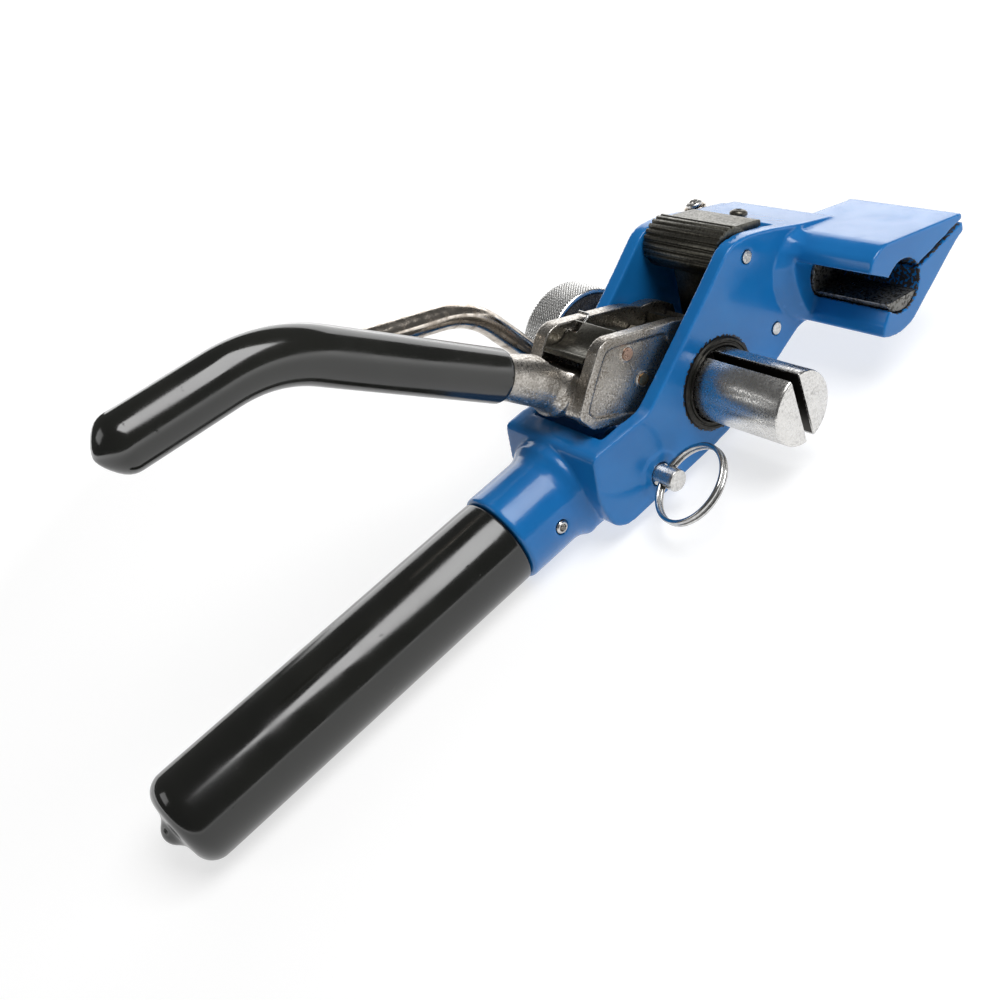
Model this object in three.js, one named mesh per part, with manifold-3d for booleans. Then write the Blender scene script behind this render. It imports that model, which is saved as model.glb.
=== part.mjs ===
// Windlass strapping tensioner: a hand tool that winds steel or polyester strap on a slotted shaft with a
// ratchet lever, and cuts the tail with a half-moon cutter bar in its nose. Millimetres, +Z up.
// The pieces are laid out about the windlass axis: X runs forward to the nose, Y to the tool's left, Z up.
// The last group moves the whole tool so that its origin is under the middle of its box.
import * as THREE from "three";
import { mergeVertices } from "three/addons/utils/BufferGeometryUtils.js";
import Module from "manifold-3d";

const wasm = await Module();
wasm.setup();

// ---------------------------------------------------------------- driving sizes
const GAP = 0.3; // between pieces that touch on the real tool
const PLAY = 0.5; // between pieces that swing past each other

const BODY_RIGHT = -24.2; // outer face of the right cheek
const BODY_LEFT = 18.5; // outer face of the left cheek
const CHEEK_WALL = 5.2;
const FLOOR_WALL = 3;
const BODY_BOTTOM = -19.3;
const CUTTER_BOSS = 3.8; // how far the boss round the cutter bore stands off the left cheek

const SHAFT_R = 12; // windlass
const SHAFT_OUT = 34; // free length outside the right cheek
const SLOT_W = 3.6; // strap slot across the free end
const SEAT_R = SHAFT_R - 1.6; // ratchet wheel seat
const JOURNAL_R = SHAFT_R - 3; // left bearing
const STUB_R = 5; // knob seat

const KNOB_R = 20.5;
const KNOB_W = 15;
const KNOB_FROM = BODY_LEFT + 17; // inner face of the knob

const TEETH = 12;
const TOOTH_TIP_R = 18.3;
const TOOTH_ROOT_R = 15;
const WHEEL_PHASE = -1.5; // degrees, foot of the first tooth

const HANDLE_Y = 0; // both handles lie in this plane
const HANDLE_Z = -8.45;
const SOCKET_MOUTH = -82.2;
const SOCKET_R = 15.8;
const SOCKET_DEPTH = 29;
const TUBE_R = 11.3;
const TUBE_WALL = 2.6;
const GRIP_WALL = 3.4;
const GRIP_END = -210; // end of the main grip's dome
const GRIP_NUB = 3.5; // drip left on the end of the dipped grip

const LEVER_RIGHT = -17.3; // outer faces of the ratchet lever's head
const LEVER_LEFT = 11.5;
const LEVER_PLATE_RIGHT = 4.4;
const LEVER_PLATE_LEFT = 5.4;
const LEVER_ANGLE = 42; // first leg of the lever above the main handle, degrees
const LEVER_BEND = 37.5; // how much flatter its second leg is
const LEVER_LEG_1 = 82; // from the end of the head's neck to the bend
const LEVER_LEG_2 = 44;
const LEVER_BARE = 5.2; // of that neck left bare ahead of the grip
const LEVER_ROD_R = 5.6;
const LEVER_GRIP_R = 8.3;

const PIN_R = 2; // pawl pins and stop pin
const HOLD_PIN = [25.5, 31];
const STOP_PIN = [30, 0.4];
const DRIVE_PIN = [-24.2, 27.4];
const HEAD_PIN = [-21.8, 15.9];
const THUMB_R = 8.2; // serrated barrel of the holding pawl
const THUMB_RIDGE = 0.75;

const CUTTER = [54.3, 7.3]; // axis of the cutter bar, x and z
const CUTTER_R = 8.33;
const CUTTER_NECK_R = CUTTER_R - 2.33;
const CUTTER_FLAT = -3.76; // the strap passes over a flat this far from the axis
const CUTTER_TILT = -14; // slope of that flat, degrees
const NOSE_END = -56.6; // open right end of the nose
const STRAP_WIDTH = 28.4; // depth of the strap slit from the open end
const NOSE_INSIDE = -14.4; // left face of the nose ahead of the body
const SLIT = 1.5;
const CUT_ROD_R = 4;
const CUT_ROD_Y = BODY_LEFT + CUTTER_BOSS + 4.6;

const PULL = [-32.9, -11.9]; // axis of the pull pin, x and z
const PULL_R = 3.65;
const PULL_OUT = 8.1;
const PULL_TRAVEL = 9;
const RING_R = 13.1; // middle of the split ring's wire pair
const RING_WIRE = 1.55;
const RING_HOLE = 2.25;
const RING_LEAN = 26.8; // the hole in the pull pin leans this much from X towards Z, degrees

const CHEEK_IN_RIGHT = BODY_RIGHT + CHEEK_WALL;
const CHEEK_IN_LEFT = BODY_LEFT - CHEEK_WALL;
const BOSS_FACE = BODY_LEFT + CUTTER_BOSS;
const HEAD_IN_RIGHT = LEVER_RIGHT + LEVER_PLATE_RIGHT;
const HEAD_IN_LEFT = LEVER_LEFT - LEVER_PLATE_LEFT;

// ---------------------------------------------------------------- finishes
const BLUE_ENAMEL = { color: 0x1f66ac, roughness: 0.25, metalness: 0 };
const BLACK_VINYL = { color: 0x0c0d0c, roughness: 0.18, metalness: 0 };
const ZINC_PLATE = { color: 0xb9b8b4, roughness: 0.35, metalness: 1 };
const CAST_NICKEL = { color: 0x9b948a, roughness: 0.42, metalness: 1 };
const BLACKENED = { color: 0x24231f, roughness: 0.45, metalness: 0.8 };
const BRONZE = { color: 0x7a5c36, roughness: 0.4, metalness: 1 };
const BRIGHT_STEEL = { color: 0xc8c8c4, roughness: 0.25, metalness: 1 };
const BARE_TUBE = { color: 0x6f7072, roughness: 0.45, metalness: 1 };

// ---------------------------------------------------------------- making solids
const radians = (degrees) => (degrees * Math.PI) / 180;

// A point of the X-Z plane at a radius and an angle from +X towards +Z.
function polar(radius, degrees, centre = [0, 0]) {
  const a = radians(degrees);
  return [centre[0] + radius * Math.cos(a), centre[1] + radius * Math.sin(a)];
}

// A closed solid from a three.js geometry, turned to face outwards.
function solid(geometry) {
  const bare = geometry.index ? geometry.toNonIndexed() : geometry.clone();
  for (const name of Object.keys(bare.attributes)) {
    if (name !== "position") bare.deleteAttribute(name);
  }
  const merged = mergeVertices(bare, 1e-4);
  const order = [];
  for (let i = 0; i < merged.index.count; i += 3) {
    const [a, b, c] = merged.index.array.slice(i, i + 3);
    if (a !== b && b !== c && c !== a) order.push(a, b, c);
  }
  const build = (triVerts) =>
    new wasm.Manifold(
      new wasm.Mesh({ numProp: 3, vertProperties: merged.attributes.position.array, triVerts }),
    );
  const made = build(new Uint32Array(order));
  return made.volume() < 0 ? build(new Uint32Array(order.reverse())) : made;
}

const join = (...solids) => solids.reduce((all, one) => all.add(one));
const cut = (from, ...tools) => tools.reduce((left, tool) => left.subtract(tool), from);

// A closed outline in the X-Z plane. A corner is [x, z] or [x, z, length cut back from the corner].
function outline(corners) {
  const shape = new THREE.Shape();
  const count = corners.length;
  corners.forEach(([x, z, back = 0], i) => {
    const corner = new THREE.Vector2(x, z);
    const step = (other) =>
      new THREE.Vector2(other[0], other[1]).sub(corner).setLength(back).add(corner);
    const from = back ? step(corners[(i + count - 1) % count]) : corner;
    if (i === 0) shape.moveTo(from.x, from.y);
    else shape.lineTo(from.x, from.y);
    if (back) {
      const to = step(corners[(i + 1) % count]);
      shape.quadraticCurveTo(corner.x, corner.y, to.x, to.y);
    }
  });
  shape.closePath();
  return shape;
}

// An X-Z outline drawn out along Y.
function plate(corners, yMin, yMax, curveSegments = 4) {
  const shape = Array.isArray(corners) ? outline(corners) : corners;
  const body = new THREE.ExtrudeGeometry(shape, {
    depth: yMax - yMin,
    bevelEnabled: false,
    curveSegments,
  });
  return solid(body.rotateX(Math.PI / 2).translate(0, yMax, 0));
}

// A round bar along Y through [x, z].
function barY(radius, yMin, yMax, [x, z] = [0, 0], sides = 24) {
  const bar = new THREE.CylinderGeometry(radius, radius, yMax - yMin, sides);
  return solid(bar.translate(x, (yMin + yMax) / 2, z));
}

// A turned piece about Y through [x, z]; the profile is [radius, y].
function turnedY(profile, [x, z] = [0, 0], sides = 48) {
  const points = profile.map(([r, y]) => new THREE.Vector2(r, y));
  return solid(new THREE.LatheGeometry(points, sides).translate(x, 0, z));
}

// A turned piece about the main handle's axis; the profile is [radius, x].
function turnedX(profile, sides = 48) {
  const points = profile.map(([r, x]) => new THREE.Vector2(r, x));
  const body = new THREE.LatheGeometry(points, sides).rotateZ(-Math.PI / 2);
  return solid(body.translate(0, HANDLE_Y, HANDLE_Z));
}

// A path of straight runs joined by bends; a bend starts this far before its corner.
function bentPath(points, bend) {
  const path = new THREE.CurvePath();
  let from = points[0];
  for (let i = 1; i < points.length - 1; i += 1) {
    const corner = points[i];
    const start = corner.clone().add(from.clone().sub(corner).setLength(bend));
    const end = corner.clone().add(points[i + 1].clone().sub(corner).setLength(bend));
    path.add(new THREE.LineCurve3(from, start));
    path.add(new THREE.QuadraticBezierCurve3(start, corner, end));
    from = end;
  }
  path.add(new THREE.LineCurve3(from, points[points.length - 1]));
  return path;
}

// A round bar along a path.
function barAlong(path, radius, steps, sides = 16) {
  const ring = [];
  for (let i = 0; i < sides; i += 1) {
    const a = (2 * Math.PI * i) / sides;
    ring.push(new THREE.Vector2(radius * Math.cos(a), radius * Math.sin(a)));
  }
  const shape = new THREE.Shape(ring);
  return solid(new THREE.ExtrudeGeometry(shape, { steps, extrudePath: path }));
}

// A tapering round bar between two points.
function cone(from, to, radiusFrom, radiusTo, sides = 32) {
  const along = to.clone().sub(from);
  const body = new THREE.CylinderGeometry(radiusTo, radiusFrom, along.length(), sides);
  const turn = new THREE.Quaternion();
  turn.setFromUnitVectors(new THREE.Vector3(0, 1, 0), along.clone().normalize());
  const middle = from.clone().add(to).multiplyScalar(0.5);
  return solid(body.applyQuaternion(turn).translate(middle.x, middle.y, middle.z));
}

// A skin over sections that all have the same number of X-Z corners, each at its own Y.
function loft(sections) {
  const count = sections[0].corners.length;
  const points = sections.flatMap(({ y, corners }) => corners.map(([x, z]) => [x, y, z]));
  const faces = [];
  for (let s = 0; s < sections.length - 1; s += 1) {
    for (let i = 0; i < count; i += 1) {
      const a = s * count + i;
      const b = s * count + ((i + 1) % count);
      faces.push(a, b, b + count, a, b + count, a + count);
    }
  }
  const flat = (corners) => corners.map(([x, z]) => new THREE.Vector2(x, z));
  const last = (sections.length - 1) * count;
  for (const [a, b, c] of THREE.ShapeUtils.triangulateShape(flat(sections[0].corners), [])) {
    faces.push(a, c, b);
  }
  const far = flat(sections[sections.length - 1].corners);
  for (const [a, b, c] of THREE.ShapeUtils.triangulateShape(far, [])) {
    faces.push(last + a, last + b, last + c);
  }
  const skin = new THREE.BufferGeometry();
  skin.setAttribute("position", new THREE.Float32BufferAttribute(points.flat(), 3));
  skin.setIndex(faces);
  return solid(skin);
}

// One named sub-part.
function piece(name, body, finish) {
  const { numProp, vertProperties, triVerts } = body.getMesh();
  const count = vertProperties.length / numProp;
  const positions = new Float32Array(count * 3);
  for (let i = 0; i < count; i += 1) {
    positions.set(vertProperties.subarray(i * numProp, i * numProp + 3), i * 3);
  }
  const geometry = new THREE.BufferGeometry();
  geometry.setAttribute("position", new THREE.BufferAttribute(positions, 3));
  geometry.setIndex(new THREE.BufferAttribute(triVerts, 1));
  geometry.computeVertexNormals();
  const material = new THREE.MeshStandardMaterial({ ...finish, flatShading: true });
  const mesh = new THREE.Mesh(geometry, material);
  mesh.name = name;
  return mesh;
}

function group(...children) {
  const made = new THREE.Group();
  made.add(...children);
  return made;
}

// ---------------------------------------------------------------- body casting
// One enamelled casting: two cheeks on a floor, a closed box behind them that ends in the handle socket,
// and the nose, which stands out to the right and holds the strap slit and the cutter bore.
const TOP_REAR = [37.7, 33.4]; // two corners of the sloping top ahead of the holding pawl
const TOP_FRONT = [54, 25.5];
const BODY_SIDE = [
  [-53.8, 11.2, 2.5],
  [-57.6, -4.3, 5],
  [-55.6, -15.5, 3],
  [-50.5, BODY_BOTTOM, 3],
  [1, BODY_BOTTOM, 10],
  [40.5, -5.6, 3],
  [51, -7.9, 4],
  [59.5, -6.9, 4],
  [67, 0.5, 4],
  [66.8, 20.3, 1.5],
  [...TOP_FRONT, 5],
  [...TOP_REAR, 4],
  [27.6, 37.4, 4],
  [19.5, 38.2, 3.5],
  [4.6, 29.1, 6],
  [-22.6, 13.5, 5],
  [-29.4, 9.9, 2],
];
const NOSE_SIDE = [
  [41, 20.3, 0.4],
  [43, 23.6, 1.5],
  [49, 25.6, 3],
  [87.4, 12.9, 0.7],
  [87, 6.8, 1],
  [82, 5, 2],
  [63.5, -3.9, 5],
  [54.5, -8.4, 5],
  [46, -6.5, 3],
  [41.3, -3.7, 0.8],
  [42.9, -0.8, 0.4],
];

function strapSlit() {
  const inner = [62.2, 8.9];
  const outer = [90, 10.7];
  return plate(
    [
      [inner[0], inner[1] - SLIT / 2],
      [outer[0], outer[1] - SLIT / 2],
      [outer[0], outer[1] + SLIT / 2],
      [inner[0], inner[1] + SLIT / 2],
    ],
    NOSE_END - 1,
    NOSE_END + STRAP_WIDTH,
  );
}

// The window behind the cutter bore, where the strap leaves towards the windlass.
function strapWindow() {
  return plate(
    [
      [30, 29.1],
      [49.2, 13.6],
      CUTTER,
      [46.8, 3.2],
      [43.2, -0.5],
      [30, -4.2],
    ],
    NOSE_END - 1,
    NOSE_END + STRAP_WIDTH,
  );
}

// The hollow fillet that carries the nose's rear face into the right cheek.
function noseFillet() {
  const reach = 9;
  const slim = [
    [56, 20],
    [49, 24.9],
    [44.5, 24],
    [42.2, 21.9],
    [41.4, 17],
    [41.7, 12],
    [42.3, 7],
    [42.6, 3],
    [42.8, -0.6],
    [41.8, -3.6],
    [47, -6],
    [56, -4],
  ];
  const wide = [
    [56, 20],
    [50.5, 26.3],
    [43.6, 26.9],
    [38.9, 24.4],
    [34.4, 19.8],
    [32.4, 14.6],
    [32.6, 9.5],
    [34.3, 4.6],
    [36.6, 0.8],
    [39.6, -2.6],
    [47, -6],
    [56, -4],
  ];
  const sections = [];
  for (const share of [-0.05, 0.3, 0.55, 0.75, 0.9, 1]) {
    const flare = 1 - Math.sqrt(1 - Math.max(share, 0) ** 2);
    sections.push({
      y: BODY_RIGHT - reach * (1 - share) + (share === 1 ? 1 : 0),
      corners: slim.map(([x, z], i) => [
        x + (wide[i][0] - x) * flare,
        z + (wide[i][1] - z) * flare,
      ]),
    });
  }
  return loft(sections);
}

// The space between the cheeks, open above, with a well in the rear box for the lever's head.
function wheelWell() {
  const top = 60;
  const main = plate(
    [
      [-45.5, top],
      [-45.5, -9, 4],
      [-41, BODY_BOTTOM + FLOOR_WALL, 3],
      [0.5, BODY_BOTTOM + FLOOR_WALL, 8],
      [39.8, -2.4, 4],
      [39.8, top],
    ],
    CHEEK_IN_RIGHT,
    CHEEK_IN_LEFT,
  );
  const tongueRest = plate(
    [
      [39, top],
      [39, 29.2],
      [44.4, 29.2],
      [44.4, top],
    ],
    CHEEK_IN_RIGHT,
    CHEEK_IN_LEFT,
  );
  const wheelGap = plate(
    [
      [-18, BODY_BOTTOM - 1],
      [18, BODY_BOTTOM - 1],
      [18, -6],
      [-18, -6],
    ],
    CHEEK_IN_RIGHT,
    CHEEK_IN_LEFT,
  );
  const springChannel = barY(6, CHEEK_IN_RIGHT, CHEEK_IN_LEFT, PULL, 28);
  return join(main, tongueRest, wheelGap, springChannel);
}

const BUSH_R = SHAFT_R + 2.2; // outside of the right bush where it sits in the cheek
const BUSH_RIM_R = SHAFT_R + 3.3;
const BUSH_RIM = 1.1;
const BUSH_WALL = 2;
const GUIDE_R = 6.2; // screwed guide of the pull pin, inside the rear box
const SCREW_X = -68; // handle set screw
const TOP_SCREW = [48.2, -0.9]; // x and y of the button screw on that slope
const TOP_SLOPE = Math.atan2(TOP_REAR[1] - TOP_FRONT[1], TOP_FRONT[0] - TOP_REAR[0]);

// Moves a piece built along +Z so that it stands square on the sloping top.
function onTop(geometry) {
  const [x, y] = TOP_SCREW;
  const z = TOP_REAR[1] - (x - TOP_REAR[0]) * Math.tan(TOP_SLOPE);
  return solid(geometry.rotateY(TOP_SLOPE).translate(x, y, z));
}

function bodyCasting() {
  const block = plate(BODY_SIDE, BODY_RIGHT, BODY_LEFT);
  const nose = plate(NOSE_SIDE, NOSE_END, NOSE_INSIDE);
  const noseRoot = plate(
    [
      [45, 20],
      [49, 25.5, 2],
      [67, 19.6],
      [67, 0],
      [54.5, -7.5, 4],
      [45, -5],
    ],
    NOSE_INSIDE - 1,
    BODY_RIGHT + 8,
  );
  const boss = plate(
    [
      [44.2, 21, 3],
      [47.5, 27.6, 3],
      [66, 20, 3],
      [66.5, 1, 5],
      [59.5, -6.4, 4],
      [50, -7, 4],
      [43.5, -1, 4],
    ],
    BODY_LEFT - 1,
    BOSS_FACE,
  );
  const socket = turnedX([
    [0, SOCKET_MOUTH],
    [SOCKET_R - 0.8, SOCKET_MOUTH],
    [SOCKET_R, SOCKET_MOUTH + 0.8],
    [SOCKET_R, -62.5],
    [SOCKET_R + 0.5, -59.8],
    [SOCKET_R + 2.2, -57],
    [SOCKET_R + 3, -52],
    [0, -52],
  ]);
  const boxLimit = plate(
    [
      [-100, HANDLE_Z - SOCKET_R],
      [-50, HANDLE_Z - SOCKET_R],
      [-50, 10.3],
      [-100, 10.3],
    ],
    BODY_RIGHT + 3,
    BODY_LEFT - 0.8,
  );
  const solids = join(block, nose, noseRoot, boss, noseFillet(), socket.intersect(boxLimit));
  const socketBore = turnedX([
    [0, SOCKET_MOUTH - 1],
    [TUBE_R + GAP, SOCKET_MOUTH - 1],
    [TUBE_R + GAP, SOCKET_MOUTH + SOCKET_DEPTH],
    [0, SOCKET_MOUTH + SOCKET_DEPTH],
  ]);
  const hollow = cut(
    solids,
    wheelWell(),
    socketBore,
    strapSlit(),
    strapWindow(),
    barY(CUTTER_R + GAP, NOSE_END - 1, BOSS_FACE + 1, CUTTER, 40),
    barY(BUSH_R + GAP, BODY_RIGHT - 1, CHEEK_IN_RIGHT + 1, [0, 0], 48),
    barY(JOURNAL_R + BUSH_WALL + GAP, CHEEK_IN_LEFT - 1, BODY_LEFT + 1, [0, 0], 40),
    barY(PULL_R + GAP, BODY_RIGHT - 1, CHEEK_IN_RIGHT + 1, PULL),
    barY(PIN_R + GAP, BODY_RIGHT - 1, BODY_LEFT + 1, HOLD_PIN, 16),
    barY(PIN_R + GAP, BODY_RIGHT - 1, BODY_LEFT + 1, STOP_PIN, 16),
    barY(2.2 + GAP, HANDLE_Y - SOCKET_R - 2, HANDLE_Y - TUBE_R, [SCREW_X, HANDLE_Z], 16),
  );
  const screwHole = new THREE.CylinderGeometry(1.6 + GAP, 1.6 + GAP, 14, 16);
  return cut(hollow, onTop(screwHole.rotateX(Math.PI / 2)));
}

// ---------------------------------------------------------------- handle
function handleTube() {
  const inner = TUBE_R - TUBE_WALL;
  const front = SOCKET_MOUTH + SOCKET_DEPTH - GAP;
  const rear = GRIP_END + 6;
  return turnedX([
    [inner, rear],
    [TUBE_R, rear],
    [TUBE_R, front],
    [inner, front],
    [inner, rear],
  ]);
}

function handleGrip() {
  const inner = TUBE_R + GAP;
  const outer = inner + GRIP_WALL;
  const front = SOCKET_MOUTH - 0.4;
  return turnedX([
    [0, GRIP_END - GRIP_NUB],
    [1.5, GRIP_END - GRIP_NUB + 0.2],
    [3.2, GRIP_END - 2.3],
    [5, GRIP_END - 0.9],
    [8.4, GRIP_END],
    [outer - 2.9, GRIP_END + 1.4],
    [outer - 1, GRIP_END + 3.8],
    [outer, GRIP_END + 7.5],
    [outer, front - 0.7],
    [outer - 0.7, front],
    [inner, front],
    [inner, GRIP_END + 6 - GAP],
    [0, GRIP_END + 6 - GAP],
  ]);
}

function setScrew() {
  const hex = new THREE.CylinderGeometry(1.25, 1.25, 3, 6).translate(SCREW_X, -15.6, HANDLE_Z);
  return cut(
    barY(2.2, HANDLE_Y - SOCKET_R - 0.2, HANDLE_Y - TUBE_R - GAP, [SCREW_X, HANDLE_Z], 16),
    solid(hex),
  );
}

// ---------------------------------------------------------------- bearings and fixed pins
function rightBush() {
  const bore = SHAFT_R + GAP;
  return turnedY([
    [bore, BODY_RIGHT - BUSH_RIM],
    [BUSH_RIM_R - 0.5, BODY_RIGHT - BUSH_RIM],
    [BUSH_RIM_R, BODY_RIGHT - BUSH_RIM + 0.5],
    [BUSH_RIM_R, BODY_RIGHT - GAP],
    [BUSH_R, BODY_RIGHT - GAP],
    [BUSH_R, CHEEK_IN_RIGHT],
    [bore, CHEEK_IN_RIGHT],
    [bore, BODY_RIGHT - BUSH_RIM],
  ]);
}

function leftBush() {
  const bore = JOURNAL_R + GAP;
  const outer = JOURNAL_R + BUSH_WALL;
  return turnedY([
    [bore, CHEEK_IN_LEFT],
    [outer, CHEEK_IN_LEFT],
    [outer, BODY_LEFT],
    [bore, BODY_LEFT],
    [bore, CHEEK_IN_LEFT],
  ]);
}

const cheekPin = (at) => barY(PIN_R, BODY_RIGHT - 0.2, BODY_LEFT + 0.3, at, 16);

// Button head with a shank, screwed down into the body ahead of the thumb tongue.
function topScrew() {
  const profile = [
    [0, -6],
    [1.6, -6],
    [1.6, GAP],
    [3, GAP],
    [3, 1.3],
    [2.2, 2],
    [0, 2.3],
  ].map(([r, z]) => new THREE.Vector2(r, z));
  return onTop(new THREE.LatheGeometry(profile, 20).rotateX(Math.PI / 2));
}

// ---------------------------------------------------------------- windlass
const KEY = 3; // square key between the shaft and the ratchet wheel

function keyBlock(slack, y0, y1) {
  const half = KEY / 2 + slack;
  const depth = 1.6 + slack;
  return plate(
    [
      [-half, -SEAT_R - depth],
      [half, -SEAT_R - depth],
      [half, -SEAT_R + depth],
      [-half, -SEAT_R + depth],
    ],
    y0,
    y1,
  );
}

const WHEEL_FROM = HEAD_IN_RIGHT + PLAY;
const WHEEL_TO = HEAD_IN_LEFT - PLAY;
const SHAFT_END = BODY_RIGHT - SHAFT_OUT;
const STUB_END = KNOB_FROM + KNOB_W - 3;

function windlassShaft() {
  const turned = turnedY([
    [0, SHAFT_END],
    [SHAFT_R - 0.8, SHAFT_END],
    [SHAFT_R, SHAFT_END + 0.8],
    [SHAFT_R, HEAD_IN_RIGHT],
    [SEAT_R, HEAD_IN_RIGHT],
    [SEAT_R, HEAD_IN_LEFT],
    [JOURNAL_R, HEAD_IN_LEFT],
    [JOURNAL_R, BODY_LEFT + 2.2],
    [STUB_R, BODY_LEFT + 2.2],
    [STUB_R, STUB_END],
    [2.5, STUB_END],
    [2.5, STUB_END - 12],
    [0, STUB_END - 12],
  ]);
  const slot = plate(
    [
      [-SLOT_W / 2, -SHAFT_R - 1],
      [SLOT_W / 2, -SHAFT_R - 1],
      [SLOT_W / 2, SHAFT_R + 1],
      [-SLOT_W / 2, SHAFT_R + 1],
    ],
    SHAFT_END - 1,
    BODY_RIGHT + 0.4,
  );
  return cut(turned, slot, keyBlock(GAP, WHEEL_FROM, WHEEL_TO));
}

function ratchetWheel() {
  const pitch = 360 / TEETH;
  const corners = [];
  for (let i = 0; i < TEETH; i += 1) {
    const foot = WHEEL_PHASE + i * pitch;
    corners.push(polar(TOOTH_ROOT_R, foot));
    corners.push(polar(TOOTH_TIP_R, foot + pitch * 0.36));
    corners.push(polar(TOOTH_TIP_R, foot + pitch * 0.53));
    corners.push(polar(TOOTH_ROOT_R, foot + pitch * 0.56));
  }
  const wheel = plate(corners, WHEEL_FROM, WHEEL_TO);
  const bore = barY(SEAT_R + GAP, WHEEL_FROM - 1, WHEEL_TO + 1, [0, 0], 40);
  return cut(wheel, bore, keyBlock(GAP, WHEEL_FROM - 1, WHEEL_TO + 1));
}

const wheelKey = () => keyBlock(0, WHEEL_FROM + 1, WHEEL_TO - 1);

function thrustWasher() {
  return turnedY([
    [JOURNAL_R + GAP, BODY_LEFT + GAP],
    [JOURNAL_R + 4, BODY_LEFT + GAP],
    [JOURNAL_R + 4, BODY_LEFT + 1.9],
    [JOURNAL_R + GAP, BODY_LEFT + 1.9],
    [JOURNAL_R + GAP, BODY_LEFT + GAP],
  ]);
}

function knob() {
  const to = KNOB_FROM + KNOB_W;
  return turnedY([
    [STUB_R + GAP, KNOB_FROM],
    [KNOB_R - 1, KNOB_FROM],
    [KNOB_R, KNOB_FROM + 1],
    [KNOB_R, to - 1],
    [KNOB_R - 1, to],
    [KNOB_R - 4, to],
    [KNOB_R - 5, to - 1],
    [STUB_R + GAP, to - 1],
    [STUB_R + GAP, KNOB_FROM],
  ]);
}

function knobScrew() {
  const face = KNOB_FROM + KNOB_W - 1;
  return turnedY([
    [0, STUB_END - 11],
    [2.2, STUB_END - 11],
    [2.2, face + GAP],
    [7.5, face + GAP],
    [7.5, face + 1.6],
    [4.5, face + 1.6],
    [4.2, face + 4],
    [0, face + 4.6],
  ]);
}

// ---------------------------------------------------------------- ratchet lever
const LEVER_BORE_R = SHAFT_R + GAP;
const LEVER_NECK = new THREE.Vector3(-54.6, HANDLE_Y, 36);
const legOne = new THREE.Vector3(
  -Math.cos(radians(LEVER_ANGLE)),
  0,
  Math.sin(radians(LEVER_ANGLE)),
);
const legTwo = new THREE.Vector3(
  -Math.cos(radians(LEVER_ANGLE - LEVER_BEND)),
  0,
  Math.sin(radians(LEVER_ANGLE - LEVER_BEND)),
);
const leverCorner = LEVER_NECK.clone().addScaledVector(legOne, LEVER_LEG_1);
const leverEnd = leverCorner.clone().addScaledVector(legTwo, LEVER_LEG_2);

// Both side plates: round in front of the windlass, narrow under it, and rising to the rear over the box.
function leverPlate(yMin, yMax) {
  const corners = [];
  for (let a = -145; a <= -20; a += 25) corners.push(polar(SHAFT_R + 3.9, a));
  corners.push(polar(SHAFT_R + 4, 8));
  corners.push(polar(SHAFT_R + 6.4, 24));
  for (let a = 38; a <= 80; a += 14) corners.push(polar(SHAFT_R + 8.9, a));
  corners.push([-1.2, 24.3, 3]);
  corners.push([-29, 36.4, 1.5]);
  corners.push([-33.2, 36.2, 2.4]);
  corners.push([-41.5, 28.4, 2]);
  corners.push([-48.8, 20.8, 2.5]);
  corners.push([-45.4, 13.6, 2]);
  corners.push([-38.5, 10, 3]);
  corners.push([-20, -1, 3]);
  return plate(corners, yMin, yMax);
}

function leverHead() {
  const web = plate(
    [
      [-47.2, 18, 1.5],
      [-44.2, 13.4, 1.5],
      [-38.5, 10.4, 2],
      [-33, 9.6, 1],
      [-31.5, 16, 2],
      [-33, 24.8, 1],
      [-36, 26.9, 1],
      [-40, 29, 1],
      [-42, 27.4, 1],
    ],
    HEAD_IN_RIGHT - 1,
    HEAD_IN_LEFT + 1,
  );
  const neckRoot = LEVER_NECK.clone().addScaledVector(legOne, -19);
  const neckCollar = LEVER_NECK.clone().addScaledVector(legOne, -11);
  const neckEnd = LEVER_NECK.clone().addScaledVector(legOne, LEVER_BARE + 0.3);
  const neck = cone(neckRoot, neckEnd, 8.2, 6.2);
  const collar = cone(neckRoot, neckCollar, 9.4, 8);
  const right = leverPlate(LEVER_RIGHT, HEAD_IN_RIGHT);
  const left = leverPlate(HEAD_IN_LEFT, LEVER_LEFT);
  const rearOnly = plate(
    [
      [-90, 0],
      [-32.5, 0],
      [-33, 25],
      [-36, 27],
      [-40, 29.6],
      [-43.2, 33.5],
      [-45, 44],
      [-90, 80],
    ],
    LEVER_RIGHT,
    LEVER_LEFT,
  );
  const rodHole = cone(
    LEVER_NECK.clone().addScaledVector(legOne, -13),
    LEVER_NECK.clone().addScaledVector(legOne, LEVER_BARE + 3),
    LEVER_ROD_R - 0.9 + GAP,
    LEVER_ROD_R - 0.9 + GAP,
    24,
  );
  return cut(
    join(right, left, web, join(neck, collar).intersect(rearOnly)),
    rodHole,
    barY(LEVER_BORE_R, LEVER_RIGHT - 1, HEAD_IN_RIGHT + 1, [0, 0], 48),
    barY(JOURNAL_R + GAP, HEAD_IN_LEFT - 1, LEVER_LEFT + 1, [0, 0], 40),
    barY(PIN_R + GAP, LEVER_RIGHT - 1, LEVER_LEFT + 1, DRIVE_PIN, 16),
    barY(PIN_R + GAP, LEVER_RIGHT - 1, LEVER_LEFT + 1, HEAD_PIN, 16),
  );
}

// The bent steel bar inside the lever's grip; its spigot is pressed into the head.
function leverRod() {
  const from = LEVER_NECK.clone().addScaledVector(legOne, LEVER_BARE + 0.3 + GAP);
  const spigot = cone(
    LEVER_NECK.clone().addScaledVector(legOne, -12.6),
    LEVER_NECK.clone().addScaledVector(legOne, LEVER_BARE + 2),
    LEVER_ROD_R - 0.9,
    LEVER_ROD_R - 0.9,
    24,
  );
  const rod = barAlong(bentPath([from, leverCorner, leverEnd], 14), LEVER_ROD_R, 30);
  return join(rod, spigot);
}

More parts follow.
